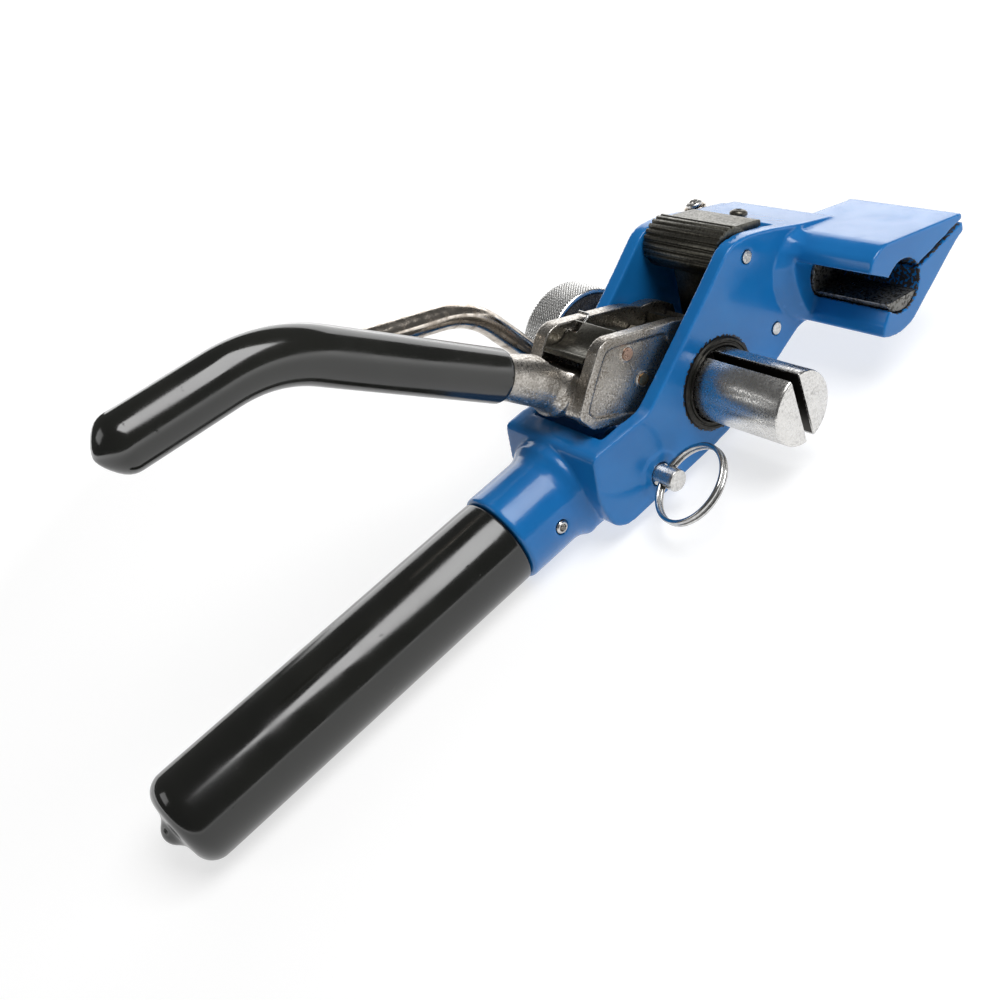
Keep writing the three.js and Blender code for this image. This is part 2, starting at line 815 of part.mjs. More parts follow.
function leverGrip() {
  const from = LEVER_NECK.clone().addScaledVector(legOne, LEVER_BARE);
  const tip = leverEnd.clone().addScaledVector(legTwo, 2);
  const skin = barAlong(bentPath([from, leverCorner, tip], 14), LEVER_GRIP_R, 34, 24);
  const cap = cone(
    tip.clone().addScaledVector(legTwo, -0.05),
    tip.clone().addScaledVector(legTwo, 3.2),
    LEVER_GRIP_R,
    LEVER_GRIP_R * 0.72,
    24,
  );
  const capEnd = cone(
    tip.clone().addScaledVector(legTwo, 3.15),
    tip.clone().addScaledVector(legTwo, 5.4),
    LEVER_GRIP_R * 0.72,
    LEVER_GRIP_R * 0.3,
    24,
  );
  const before = LEVER_NECK.clone().addScaledVector(legOne, LEVER_BARE - 3);
  const inside = leverEnd.clone().addScaledVector(legTwo, GAP);
  const core = barAlong(bentPath([before, leverCorner, inside], 14), LEVER_ROD_R + 0.9, 34);
  return cut(join(skin, cap, capEnd), core);
}

const drivePin = () => barY(PIN_R, LEVER_RIGHT - 0.2, LEVER_LEFT + 0.2, DRIVE_PIN, 16);
const headPin = () => barY(PIN_R, LEVER_RIGHT - 0.2, LEVER_LEFT + 0.2, HEAD_PIN, 16);

// Torsion spring on the drive pawl's pin; one leg hooks over the left plate.
const PAWL_RIGHT = HEAD_IN_RIGHT + PLAY;
const PAWL_LEFT = HEAD_IN_LEFT - PLAY;
const SPRING_WIDTH = 4.2;

function driveSpring() {
  const coil = turnedY(
    [
      [PIN_R + GAP, PAWL_LEFT - SPRING_WIDTH + GAP],
      [PIN_R + 1.4, PAWL_LEFT - SPRING_WIDTH + GAP],
      [PIN_R + 1.4, PAWL_LEFT],
      [PIN_R + GAP, PAWL_LEFT],
      [PIN_R + GAP, PAWL_LEFT - SPRING_WIDTH + GAP],
    ],
    DRIVE_PIN,
    20,
  );
  const leg = bentPath(
    [
      new THREE.Vector3(DRIVE_PIN[0] + 1, PAWL_LEFT - 1.2, DRIVE_PIN[1] + PIN_R + 0.7),
      new THREE.Vector3(DRIVE_PIN[0] + 6.5, PAWL_LEFT - 1.2, DRIVE_PIN[1] + PIN_R + 3.3),
      new THREE.Vector3(DRIVE_PIN[0] + 6.5, PAWL_LEFT + 3.6, DRIVE_PIN[1] + PIN_R + 3.3),
    ],
    1.4,
  );
  return join(coil, barAlong(leg, 0.6, 14, 8));
}

// ---------------------------------------------------------------- drive pawl
// A bent steel plate on the lever's upper pin: a tip that drops behind the teeth, and a rolled thumb lip.
function drivePawl() {
  const [px, pz] = DRIVE_PIN;
  const side = [
    [px + 17.9, pz - 9.8],
    [px + 17, pz - 7.2],
    [px + 9, pz - 1.2, 2],
    [px + 4.2, pz + 3.4, 1.5],
    [px + 1.9, pz + 6.3, 0.5],
    [px - 0.6, pz + 5.9, 1.5],
    [px - 5, pz + 3.6, 2],
    [px - 8.6, pz + 3.8, 2],
    [px - 11.8, pz + 6, 0.9],
    [px - 13.6, pz + 4.8, 0.9],
    [px - 10, pz + 1.5, 2],
    [px - 5, pz + 0.7, 2],
    [px - 3.4, pz - 2.6, 2],
    [px + 1, pz - 3.8, 2],
    [px + 9, pz - 5.6, 2],
  ];
  const body = plate(side, PAWL_RIGHT, PAWL_LEFT);
  const springSpace = plate(
    [
      polar(6.3, 25, DRIVE_PIN),
      polar(6.3, 75, DRIVE_PIN),
      polar(8.5, 95, DRIVE_PIN),
      polar(4.4, 130, DRIVE_PIN),
      polar(4.4, 180, DRIVE_PIN),
      polar(4.4, 225, DRIVE_PIN),
      polar(5, 270, DRIVE_PIN),
      polar(5, 320, DRIVE_PIN),
    ],
    PAWL_LEFT - SPRING_WIDTH,
    PAWL_LEFT + 1,
  );
  return cut(body, springSpace, barY(PIN_R + GAP, PAWL_RIGHT - 1, PAWL_LEFT + 1, DRIVE_PIN, 16));
}

// ---------------------------------------------------------------- holding pawl
// A serrated barrel that turns on the cheek pin, with a thumb tongue in front and a tail down to the wheel.
function holdingPawl() {
  const [px, pz] = HOLD_PIN;
  const corners = [];
  const ridges = 9;
  for (let i = 0; i < ridges; i += 1) {
    const a = 62 + i * 14;
    corners.push(polar(THUMB_R, a, HOLD_PIN));
    corners.push(polar(THUMB_R + THUMB_RIDGE, a + 3.5, HOLD_PIN));
    corners.push(polar(THUMB_R + THUMB_RIDGE, a + 9.5, HOLD_PIN));
    corners.push(polar(THUMB_R, a + 12, HOLD_PIN));
  }
  for (let a = 200; a < 420; a += 16) corners.push(polar(THUMB_R, a, HOLD_PIN));
  const right = CHEEK_IN_RIGHT + PLAY;
  const left = CHEEK_IN_LEFT - PLAY;
  const barrel = plate(corners, right, left);
  const tongue = plate(
    [
      [px - 1, pz + 5],
      [px + 2, pz + 7.6],
      [px + 14.5, pz + 3, 1],
      [px + 17, pz + 1.9, 1],
      [px + 16.4, pz - 0.2, 0.8],
      [px + 13, pz + 0.5, 1],
      [px + 6.5, pz + 2.6, 1],
      [px + 5, pz],
    ],
    right + 2.1,
    left - 0.7,
  );
  const tail = plate(
    [
      [px - 5.5, pz - 4],
      [px - 6.4, pz - 12],
      [px - 8.2, pz - 24],
      [px - 5.3, pz - 24.9],
      [px + 0.5, pz - 12],
      [px + 2.5, pz - 5],
    ],
    PAWL_RIGHT + 1.4,
    PAWL_LEFT - 1.4,
  );
  return cut(join(barrel, tongue, tail), barY(PIN_R + GAP, right - 1, left + 1, HOLD_PIN, 16));
}

// ---------------------------------------------------------------- cutter
// A half-moon bar through the nose; its left end carries the clamp hub and the bent operating rod.
function cutterBar() {
  const bar = turnedY(
    [
      [0, NOSE_END + 0.4],
      [CUTTER_R - 0.4, NOSE_END + 0.4],
      [CUTTER_R, NOSE_END + 0.8],
      [CUTTER_R, BOSS_FACE - GAP],
      [CUTTER_NECK_R, BOSS_FACE - GAP],
      [CUTTER_NECK_R, BOSS_FACE + 8.6],
      [0, BOSS_FACE + 8.6],
    ],
    CUTTER,
    40,
  );
  const flat = new THREE.BoxGeometry(24, STRAP_WIDTH, 20);
  flat.translate(0, 0, CUTTER_FLAT + 10).rotateY(radians(-CUTTER_TILT));
  flat.translate(CUTTER[0], NOSE_END + STRAP_WIDTH / 2 - 0.5, CUTTER[1]);
  return cut(bar, solid(flat));
}

function cutterLever() {
  const y = CUT_ROD_Y;
  const at = (x, z) => new THREE.Vector3(x, y, z);
  const rod = barAlong(
    bentPath(
      [at(-98, 68), at(-44.2, 47.9), at(-11.4, -15), at(13, -14.6), at(CUTTER[0] - 4, CUTTER[1] - 3)],
      9,
    ),
    CUT_ROD_R,
    46,
    14,
  );
  const hub = barY(CUTTER_NECK_R + 4, BOSS_FACE + PLAY, BOSS_FACE + 8.8, CUTTER, 32);
  const neck = new THREE.CylinderGeometry(3.9, 4.2, 17, 24);
  neck.rotateX(Math.PI / 2).translate(CUTTER[0] + 1.2, y, CUTTER[1] + 8.4);
  const screwHole = new THREE.CylinderGeometry(1.5 + GAP, 1.5 + GAP, 12, 16);
  screwHole.rotateX(Math.PI / 2).translate(CUTTER[0] + 1.2, y, CUTTER[1] + 13);
  return cut(
    join(hub, rod, solid(neck)),
    barY(CUTTER_NECK_R + GAP, BOSS_FACE - 1, BOSS_FACE + 10, CUTTER, 32),
    solid(screwHole),
  );
}

function clampScrew() {
  const top = CUTTER[1] + 16.9 + GAP;
  const profile = [
    [0, top - 8],
    [1.5, top - 8],
    [1.5, top],
    [2.9, top],
    [2.9, top + 0.9],
    [2.3, top + 1.3],
    [0, top + 1.3],
  ].map(([r, z]) => new THREE.Vector2(r, z));
  const body = new THREE.LatheGeometry(profile, 20).rotateX(Math.PI / 2);
  return solid(body.translate(CUTTER[0] + 1.2, CUT_ROD_Y, 0));
}

// ---------------------------------------------------------------- pull pin and split ring
const PULL_HEAD = BODY_RIGHT - PULL_OUT;
const PULL_EYE = BODY_RIGHT - 2.6;
const PULL_TIP = CHEEK_IN_RIGHT + 18;

function pullPin() {
  const pin = turnedY(
    [
      [0, PULL_HEAD],
      [PULL_R - 0.5, PULL_HEAD],
      [PULL_R, PULL_HEAD + 0.5],
      [PULL_R, PULL_TIP - 4],
      [PULL_R + 1.9, PULL_TIP - 4],
      [PULL_R + 1.9, PULL_TIP - 2.4],
      [PULL_R, PULL_TIP - 2.4],
      [PULL_R, PULL_TIP - 0.8],
      [PULL_R - 0.8, PULL_TIP],
      [0, PULL_TIP],
    ],
    PULL,
    28,
  );
  const eye = new THREE.CylinderGeometry(RING_HOLE, RING_HOLE, 20, 16).rotateZ(Math.PI / 2);
  eye.rotateY(-radians(RING_LEAN)).translate(PULL[0], PULL_EYE, PULL[1]);
  return cut(pin, solid(eye));
}

// Return spring between the cheek and the collar of the pull pin.
function pullSpring() {
  const turns = 6;
  const radius = PULL_R + 1.15;
  const from = CHEEK_IN_RIGHT + 0.9;
  const rise = PULL_TIP - 4 - from - 0.9;
  const points = [];
  for (let i = 0; i <= turns * 10; i += 1) {
    const a = (2 * Math.PI * i) / 10;
    points.push(
      new THREE.Vector3(
        PULL[0] + radius * Math.cos(a),
        from + (rise * i) / (turns * 10),
        PULL[1] + radius * Math.sin(a),
      ),
    );
  }
  return barAlong(new THREE.CatmullRomCurve3(points), 0.5, turns * 12, 6);
}

function splitRing() {
  const half = RING_WIRE;
  const profile = [
    [RING_R - 0.75, -half + 0.4],
    [RING_R - 0.35, -half],
    [RING_R + 0.35, -half],
    [RING_R + 0.75, -half + 0.4],
    [RING_R + 0.75, half - 0.4],
    [RING_R + 0.35, half],
    [RING_R - 0.35, half],
    [RING_R - 0.75, half - 0.4],
    [RING_R - 0.75, -half + 0.4],
  ].map(([r, y]) => new THREE.Vector2(r, y));
  const eyeWay = new THREE.Vector3(Math.cos(radians(RING_LEAN)), 0, Math.sin(radians(RING_LEAN)));
  const out = new THREE.Vector3(-0.1, -0.972, 0.212);
  out.addScaledVector(eyeWay, -out.dot(eyeWay)).normalize();
  const normal = new THREE.Vector3().crossVectors(eyeWay, out);
  const turn = new THREE.Matrix4().makeBasis(eyeWay, normal, new THREE.Vector3().crossVectors(eyeWay, normal));
  const centre = new THREE.Vector3(PULL[0], PULL_EYE, PULL[1]).addScaledVector(out, RING_R);
  turn.setPosition(centre);
  return solid(new THREE.LatheGeometry(profile, 36).applyMatrix4(turn));
}

// ---------------------------------------------------------------- assembly
const body = group(
  piece("body_casting", bodyCasting(), BLUE_ENAMEL),
  piece("handle_tube", handleTube(), BARE_TUBE),
  piece("handle_grip", handleGrip(), BLACK_VINYL),
  piece("handle_set_screw", setScrew(), ZINC_PLATE),
  piece("windlass_bush_right", rightBush(), BLACKENED),
  piece("windlass_bush_left", leftBush(), BRONZE),
  piece("holding_pawl_pin", cheekPin(HOLD_PIN), BRIGHT_STEEL),
  piece("stop_pin", cheekPin(STOP_PIN), BRIGHT_STEEL),
  piece("button_screw", topScrew(), BLACKENED),
);
const windlass = group(
  piece("windlass_shaft", windlassShaft(), ZINC_PLATE),
  piece("ratchet_wheel", ratchetWheel(), BLACKENED),
  piece("wheel_key", wheelKey(), BRIGHT_STEEL),
  piece("thrust_washer", thrustWasher(), ZINC_PLATE),
  piece("winding_knob", knob(), ZINC_PLATE),
  piece("knob_screw", knobScrew(), BLACKENED),
);
const lever = group(
  piece("lever_head", leverHead(), CAST_NICKEL),
  piece("lever_rod", leverRod(), BARE_TUBE),
  piece("lever_grip", leverGrip(), BLACK_VINYL),
  piece("drive_pawl_pin", drivePin(), BRIGHT_STEEL),
  piece("lever_head_pin", headPin(), BRONZE),
  piece("drive_pawl_spring", driveSpring(), BRIGHT_STEEL),
);
const pawls = group(
  piece("drive_pawl", drivePawl(), BLACKENED),
  piece("holding_pawl", holdingPawl(), BLACKENED),
);
const cutter = group(
  piece("cutter_bar", cutterBar(), BLACKENED),
  piece("cutter_lever", cutterLever(), CAST_NICKEL),
  piece("cutter_clamp_screw", clampScrew(), ZINC_PLATE),
);
const pull = group(
  piece("pull_pin", pullPin(), ZINC_PLATE),
  piece("pull_pin_spring", pullSpring(), BRIGHT_STEEL),
  piece("split_ring", splitRing(), ZINC_PLATE),
);

const tool = group(body, windlass, lever, pawls, cutter, pull);
const box = new THREE.Box3().setFromObject(tool);
tool.position.set(-(box.min.x + box.max.x) / 2, -(box.min.y + box.max.y) / 2, -box.min.z);

export default group(tool);
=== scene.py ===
import math

import bmesh
import bpy
from mathutils import Matrix, Vector


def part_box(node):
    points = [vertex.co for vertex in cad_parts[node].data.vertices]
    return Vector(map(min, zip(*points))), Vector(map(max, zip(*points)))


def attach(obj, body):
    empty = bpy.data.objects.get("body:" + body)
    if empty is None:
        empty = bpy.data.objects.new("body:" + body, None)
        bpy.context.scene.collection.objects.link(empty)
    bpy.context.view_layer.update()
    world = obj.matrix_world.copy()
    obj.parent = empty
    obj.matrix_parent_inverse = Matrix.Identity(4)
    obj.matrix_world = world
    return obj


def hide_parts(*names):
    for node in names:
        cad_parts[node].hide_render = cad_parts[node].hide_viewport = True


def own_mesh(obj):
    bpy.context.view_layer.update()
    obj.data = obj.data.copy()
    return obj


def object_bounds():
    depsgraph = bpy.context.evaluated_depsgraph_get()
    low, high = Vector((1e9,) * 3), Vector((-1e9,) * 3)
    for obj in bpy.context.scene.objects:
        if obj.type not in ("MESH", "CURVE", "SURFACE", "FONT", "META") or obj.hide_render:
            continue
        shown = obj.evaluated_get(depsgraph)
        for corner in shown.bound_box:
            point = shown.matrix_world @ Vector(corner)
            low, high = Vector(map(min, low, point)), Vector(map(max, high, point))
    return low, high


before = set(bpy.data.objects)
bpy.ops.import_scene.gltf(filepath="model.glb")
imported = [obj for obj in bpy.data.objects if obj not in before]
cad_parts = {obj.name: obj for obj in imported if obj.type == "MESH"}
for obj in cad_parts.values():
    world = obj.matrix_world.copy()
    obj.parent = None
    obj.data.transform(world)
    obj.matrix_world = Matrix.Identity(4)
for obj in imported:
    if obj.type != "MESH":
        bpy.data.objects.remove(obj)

# Windlass strapping tensioner: a cast, blue-enamelled hand tool with a ratchet lever, a slotted windlass
# and a half-moon cutter bar in its nose. Sizes are millimetres from the middle of the windlass axis:
# X runs forward to the nose, Y to the tool's left, Z up. The knob on the windlass says where that axis is.
cad_low, cad_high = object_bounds()
knob_low, knob_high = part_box("winding_knob")
KNOB_FROM = 35.5
AXIS = Vector(
    (
        (knob_low.x + knob_high.x) / 2,
        knob_low.y - KNOB_FROM / 1000,
        (knob_low.z + knob_high.z) / 2,
    )
)

# ------------------------------------------------------------------------------------------ body casting
# One sand casting: two cheeks on a floor, a closed box behind them that ends in the handle socket, and the
# nose that stands out to the right. It is ground, enamelled blue and baked, so the paint rounds its edges.
BODY_RIGHT, BODY_LEFT, CHEEK_WALL = -24.2, 18.5, 5.2
CHEEK_IN_RIGHT, CHEEK_IN_LEFT = BODY_RIGHT + CHEEK_WALL, BODY_LEFT - CHEEK_WALL
BODY_BOTTOM, FLOOR_WALL = -19.3, 3
BOSS_FACE = BODY_LEFT + 3.8
HANDLE_Z, SOCKET_MOUTH, SOCKET_R, SOCKET_DEPTH, TUBE_R = -8.45, -82.2, 15.8, 29, 11.3
CUTTER, CUTTER_R = (54.3, 7.3), 8.33
NOSE_END, NOSE_INSIDE, STRAP_WIDTH, SLIT = -56.6, -14.4, 28.4, 1.5
HOLD_PIN, STOP_PIN, PIN_R = (25.5, 31), (30, 0.4), 2
PULL, PULL_R = (-32.9, -11.9), 3.65
SCREW_X = -68
TOP_REAR, TOP_FRONT = (37.7, 33.4), (54, 25.5)
ENAMEL_BLUE, ENAMEL_DEEP = (0.010, 0.168, 0.47, 1), (0.008, 0.145, 0.42, 1)
BODY_SIDE = [
    (-53.8, 11.2, 2.5), (-57.6, -4.3, 5), (-55.6, -15.5, 3), (-50.5, BODY_BOTTOM, 3), (1, BODY_BOTTOM, 10),
    (40.5, -5.6, 3), (51, -7.9, 4), (59.5, -6.9, 4), (67, 0.5, 4), (66.8, 20.3, 1.5), (*TOP_FRONT, 5),
    (*TOP_REAR, 4), (27.6, 37.4, 4), (19.5, 38.2, 3.5), (4.6, 29.1, 6), (-22.6, 13.5, 5), (-29.4, 9.9, 2),
]
NOSE_SIDE = [
    (41, 20.3, 0.4), (43, 23.6, 1.5), (49, 25.6, 3), (87.4, 12.9, 0.5), (87, 6.8, 0.8), (82, 5, 2),
    (63.5, -3.9, 5), (54.5, -8.4, 5), (46, -6.5, 3), (41.3, -3.7, 0.8), (42.9, -0.8, 0.4),
]
WELL = [
    (-45.5, 60), (-45.5, -9, 4), (-41, BODY_BOTTOM + FLOOR_WALL, 3), (0.5, BODY_BOTTOM + FLOOR_WALL, 8),
    (39.8, -2.4, 4), (39.8, 60),
]
STRAP_WINDOW = [(30, 29.1), (49.2, 13.6), CUTTER, (46.8, 3.2), (43.2, -0.5), (30, -4.2)]
FILLET_SLIM = [
    (56, 20), (49, 24.9), (44.5, 24), (42.2, 21.9), (41.4, 17), (41.7, 12), (42.3, 7), (42.6, 3),
    (42.8, -0.6), (41.8, -3.6), (47, -6), (56, -4),
]
FILLET_WIDE = [
    (56, 20), (50.5, 26.3), (43.6, 26.9), (38.9, 24.4), (34.4, 19.8), (32.4, 14.6), (32.6, 9.5),
    (34.3, 4.6), (36.6, 0.8), (39.6, -2.6), (47, -6), (56, -4),
]
FILLET_REACH = 9


def rounded(corners, steps=7):
    """The points of an X-Z outline. A corner is (x, z) or (x, z, length cut back and curved)."""
    points = []
    for i, corner in enumerate(corners):
        here = Vector(corner[:2])
        back = corner[2] if len(corner) > 2 else 0
        if not back:
            points.append(here)
            continue
        before = here + (Vector(corners[i - 1][:2]) - here).normalized() * back
        after = here + (Vector(corners[(i + 1) % len(corners)][:2]) - here).normalized() * back
        for s in range(steps + 1):
            t = s / steps
            points.append(before * (1 - t) ** 2 + here * (2 * t * (1 - t)) + after * t**2)
    return [(p.x, p.y) for p in points]


def skin(sections):
    """A closed shell over sections, each a list of as many points."""
    count = len(sections[0])
    points = [tuple(p) for section in sections for p in section]
    faces = [list(range(count)), list(range(len(points) - count, len(points)))]
    for s in range(len(sections) - 1):
        for i in range(count):
            a, b = s * count + i, s * count + (i + 1) % count
            faces.append([a, b, b + count, a + count])
    return points, faces


def slab(corners, y_from, y_to):
    """An X-Z outline drawn out along Y."""
    flat = rounded(corners)
    return skin([[(x, y, z) for x, z in flat] for y in (y_from, y_to)])


def turned(profile, base=(0, 0, 0), axis=(0, 1, 0), sides=96):
    """A turned piece. The profile is (radius, distance along the axis); a closed one has no core."""
    base, axis = Vector(base), Vector(axis).normalized()
    across = Vector((1, 0, 0)) if abs(axis.x) < 0.9 else Vector((0, 1, 0))
    across = (across - axis * across.dot(axis)).normalized()
    up = axis.cross(across)
    ring_like = profile[0] == profile[-1]
    rows, points, faces = [], [], []
    for radius, along in profile[:-1] if ring_like else profile:
        if radius < 1e-6:
            rows.append([len(points)] * sides)
            points.append(tuple(base + axis * along))
            continue
        rows.append(list(range(len(points), len(points) + sides)))
        for i in range(sides):
            a = 2 * math.pi * i / sides
            out = across * math.cos(a) + up * math.sin(a)
            points.append(tuple(base + axis * along + out * radius))
    pairs = list(zip(rows, rows[1:])) + ([(rows[-1], rows[0])] if ring_like else [])
    for row, following in pairs:
        for i in range(sides):
            j = (i + 1) % sides
            corners = [row[i], row[j], following[j], following[i]]
            face = [c for k, c in enumerate(corners) if c not in corners[:k]]
            if len(face) > 2:
                faces.append(face)
    return points, faces


def bar(radius, y_from, y_to, at=(0, 0), sides=64):
    """A round bar along Y through an X-Z point."""
    return turned([(0, y_from), (radius, y_from), (radius, y_to), (0, y_to)], (at[0], 0, at[1]), sides=sides)


def made(name, *shells):
    """A mesh object from shells in millimetres from the windlass axis."""
    points, faces = [], []
    for shell_points, shell_faces in shells:
        start = len(points)
        points += [AXIS + Vector(p) / 1000 for p in shell_points]
        faces += [[start + i for i in face] for face in shell_faces]
    mesh = bpy.data.meshes.new(name)
    mesh.from_pydata(points, [], faces)
    work = bmesh.new()
    work.from_mesh(mesh)
    bmesh.ops.recalc_face_normals(work, faces=work.faces)
    work.to_mesh(mesh)
    work.free()
    thing = bpy.data.objects.new(name, mesh)
    bpy.context.scene.collection.objects.link(thing)
    return thing


def settle(thing):
    """Makes what the object's modifiers give its real mesh."""
    layer = bpy.context.evaluated_depsgraph_get()
    mesh = bpy.data.meshes.new_from_object(thing.evaluated_get(layer))
    thing.modifiers.clear()
    old, thing.data = thing.data, mesh
    bpy.data.meshes.remove(old)
    mesh.name = thing.name


def carve(thing, *shells, operation="DIFFERENCE"):
    """Cuts the shells away, as a mill or a core would."""
    tool = made(thing.name + "_tool", *shells)
    step = thing.modifiers.new("carve", "BOOLEAN")
    step.object, step.operation, step.solver = tool, operation, "EXACT"
    step.use_self = True
    settle(thing)
    bpy.data.objects.remove(tool)


def cast_skin(thing, grain, passes, firm=None):
    """Melts the solids into one cast skin with rounded edges. firm(x, y, z) is true where it stays crisp."""
    remesh = thing.modifiers.new("melt", "REMESH")
    remesh.mode, remesh.voxel_size, remesh.use_smooth_shade = "VOXEL", grain / 1000, True
    settle(thing)
    soft = thing.vertex_groups.new(name="soft")
    held = []
    if firm:
        for v in thing.data.vertices:
            p = (v.co - AXIS) * 1000
            if firm(p.x, p.y, p.z):
                held.append(v.index)
    soft.add(list(range(len(thing.data.vertices))), 1.0, "REPLACE")
    soft.add(held, 0.12, "REPLACE")
    smooth = thing.modifiers.new("round", "SMOOTH")
    smooth.factor, smooth.iterations, smooth.vertex_group = 0.5, passes, "soft"
    settle(thing)
    thing.vertex_groups.clear()
    shade(thing, 180)


def shade(thing, angle=35):
    """Smooth shading, with a crease where faces meet at more than this many degrees."""
    thing.data.shade_smooth()
    thing.data.set_sharp_from_angle(angle=math.radians(angle))


def finish_nodes(name, **sockets):
    """A new finish with a Principled shader; its plain numbers are set on the shader's sockets."""
    material = bpy.data.materials.new(name)
    material.use_nodes = True
    tree = material.node_tree
    tree.nodes.clear()
    shader = tree.nodes.new("ShaderNodeBsdfPrincipled")
    output = tree.nodes.new("ShaderNodeOutputMaterial")
    tree.links.new(shader.outputs["BSDF"], output.inputs["Surface"])
    for socket, value in sockets.items():
        shader.inputs[socket.replace("_", " ")].default_value = value
    return material, tree, shader


def grain(tree, scale, low=0.35, high=0.65, detail=3.0, stretch=(1, 1, 1)):
    """Noise fixed to the piece, spread from 0 to 1 between two noise levels. Scale is lumps per metre."""
    where = tree.nodes.new("ShaderNodeTexCoord")
    mapping = tree.nodes.new("ShaderNodeMapping")
    mapping.inputs["Scale"].default_value = stretch
    noise = tree.nodes.new("ShaderNodeTexNoise")
    noise.inputs["Scale"].default_value = scale
    noise.inputs["Detail"].default_value = detail
    spread = tree.nodes.new("ShaderNodeMapRange")
    spread.inputs["From Min"].default_value = low
    spread.inputs["From Max"].default_value = high
    tree.links.new(where.outputs["Object"], mapping.inputs["Vector"])
    tree.links.new(mapping.outputs["Vector"], noise.inputs["Vector"])
    tree.links.new(noise.outputs["Fac"], spread.inputs["Value"])
    return spread.outputs["Result"]


def blend_colour(tree, share, first, second):
    """First colour at share 0, second at 1. Each is a colour or a socket."""
    mix = tree.nodes.new("ShaderNodeMix")
    mix.data_type = "RGBA"
    tree.links.new(share, mix.inputs["Factor"])
    for socket, colour in ((mix.inputs["A"], first), (mix.inputs["B"], second)):
        socket = next(s for s in mix.inputs if s.name == socket.name and s.type == "RGBA")
        if isinstance(colour, bpy.types.NodeSocket):
            tree.links.new(colour, socket)
        else:
            socket.default_value = colour
    return next(s for s in mix.outputs if s.type == "RGBA")


def sums(tree, operation, first, second=0.0, third=0.0):
    """One arithmetic step on sockets or numbers."""
    node = tree.nodes.new("ShaderNodeMath")
    node.operation = operation
    for socket, value in zip(node.inputs, (first, second, third)):
        if isinstance(value, bpy.types.NodeSocket):
            tree.links.new(value, socket)
        else:
            socket.default_value = value
    return node.outputs[0]


def between(tree, value, low, high, to_low, to_high):
    """Spreads a value between two levels over a new range."""
    spread = tree.nodes.new("ShaderNodeMapRange")
    tree.links.new(value, spread.inputs["Value"])
    for socket, number in zip(("From Min", "From Max", "To Min", "To Max"), (low, high, to_low, to_high)):
        spread.inputs[socket].default_value = number
    return spread.outputs["Result"]


def relief(tree, shader, height, depth):
    """Bump from a 0 to 1 height; depth is millimetres."""
    bump = tree.nodes.new("ShaderNodeBump")
    bump.inputs["Distance"].default_value = depth / 1000
    bump.inputs["Strength"].default_value = 1.0
    tree.links.new(height, bump.inputs["Height"])
    tree.links.new(bump.outputs["Normal"], shader.inputs["Normal"])


def place(tree):
    """X, Y and Z in millimetres from the windlass axis, as sockets."""
    where = tree.nodes.new("ShaderNodeTexCoord")
    shift = tree.nodes.new("ShaderNodeVectorMath")
    shift.operation = "SUBTRACT"
    shift.inputs[1].default_value = AXIS
    grow = tree.nodes.new("ShaderNodeVectorMath")
    grow.operation = "SCALE"
    grow.inputs["Scale"].default_value = 1000
    parts = tree.nodes.new("ShaderNodeSeparateXYZ")
    tree.links.new(where.outputs["Object"], shift.inputs[0])
    tree.links.new(shift.outputs["Vector"], grow.inputs[0])
    tree.links.new(grow.outputs["Vector"], parts.inputs["Vector"])
    return parts.outputs["X"], parts.outputs["Y"], parts.outputs["Z"]


def from_axis(tree, x, z, centre):
    """Distance of a point from an axis along Y."""
    dx, dz = sums(tree, "SUBTRACT", x, centre[0]), sums(tree, "SUBTRACT", z, centre[1])
    return sums(tree, "SQRT", sums(tree, "ADD", sums(tree, "MULTIPLY", dx, dx),
                                   sums(tree, "MULTIPLY", dz, dz)))


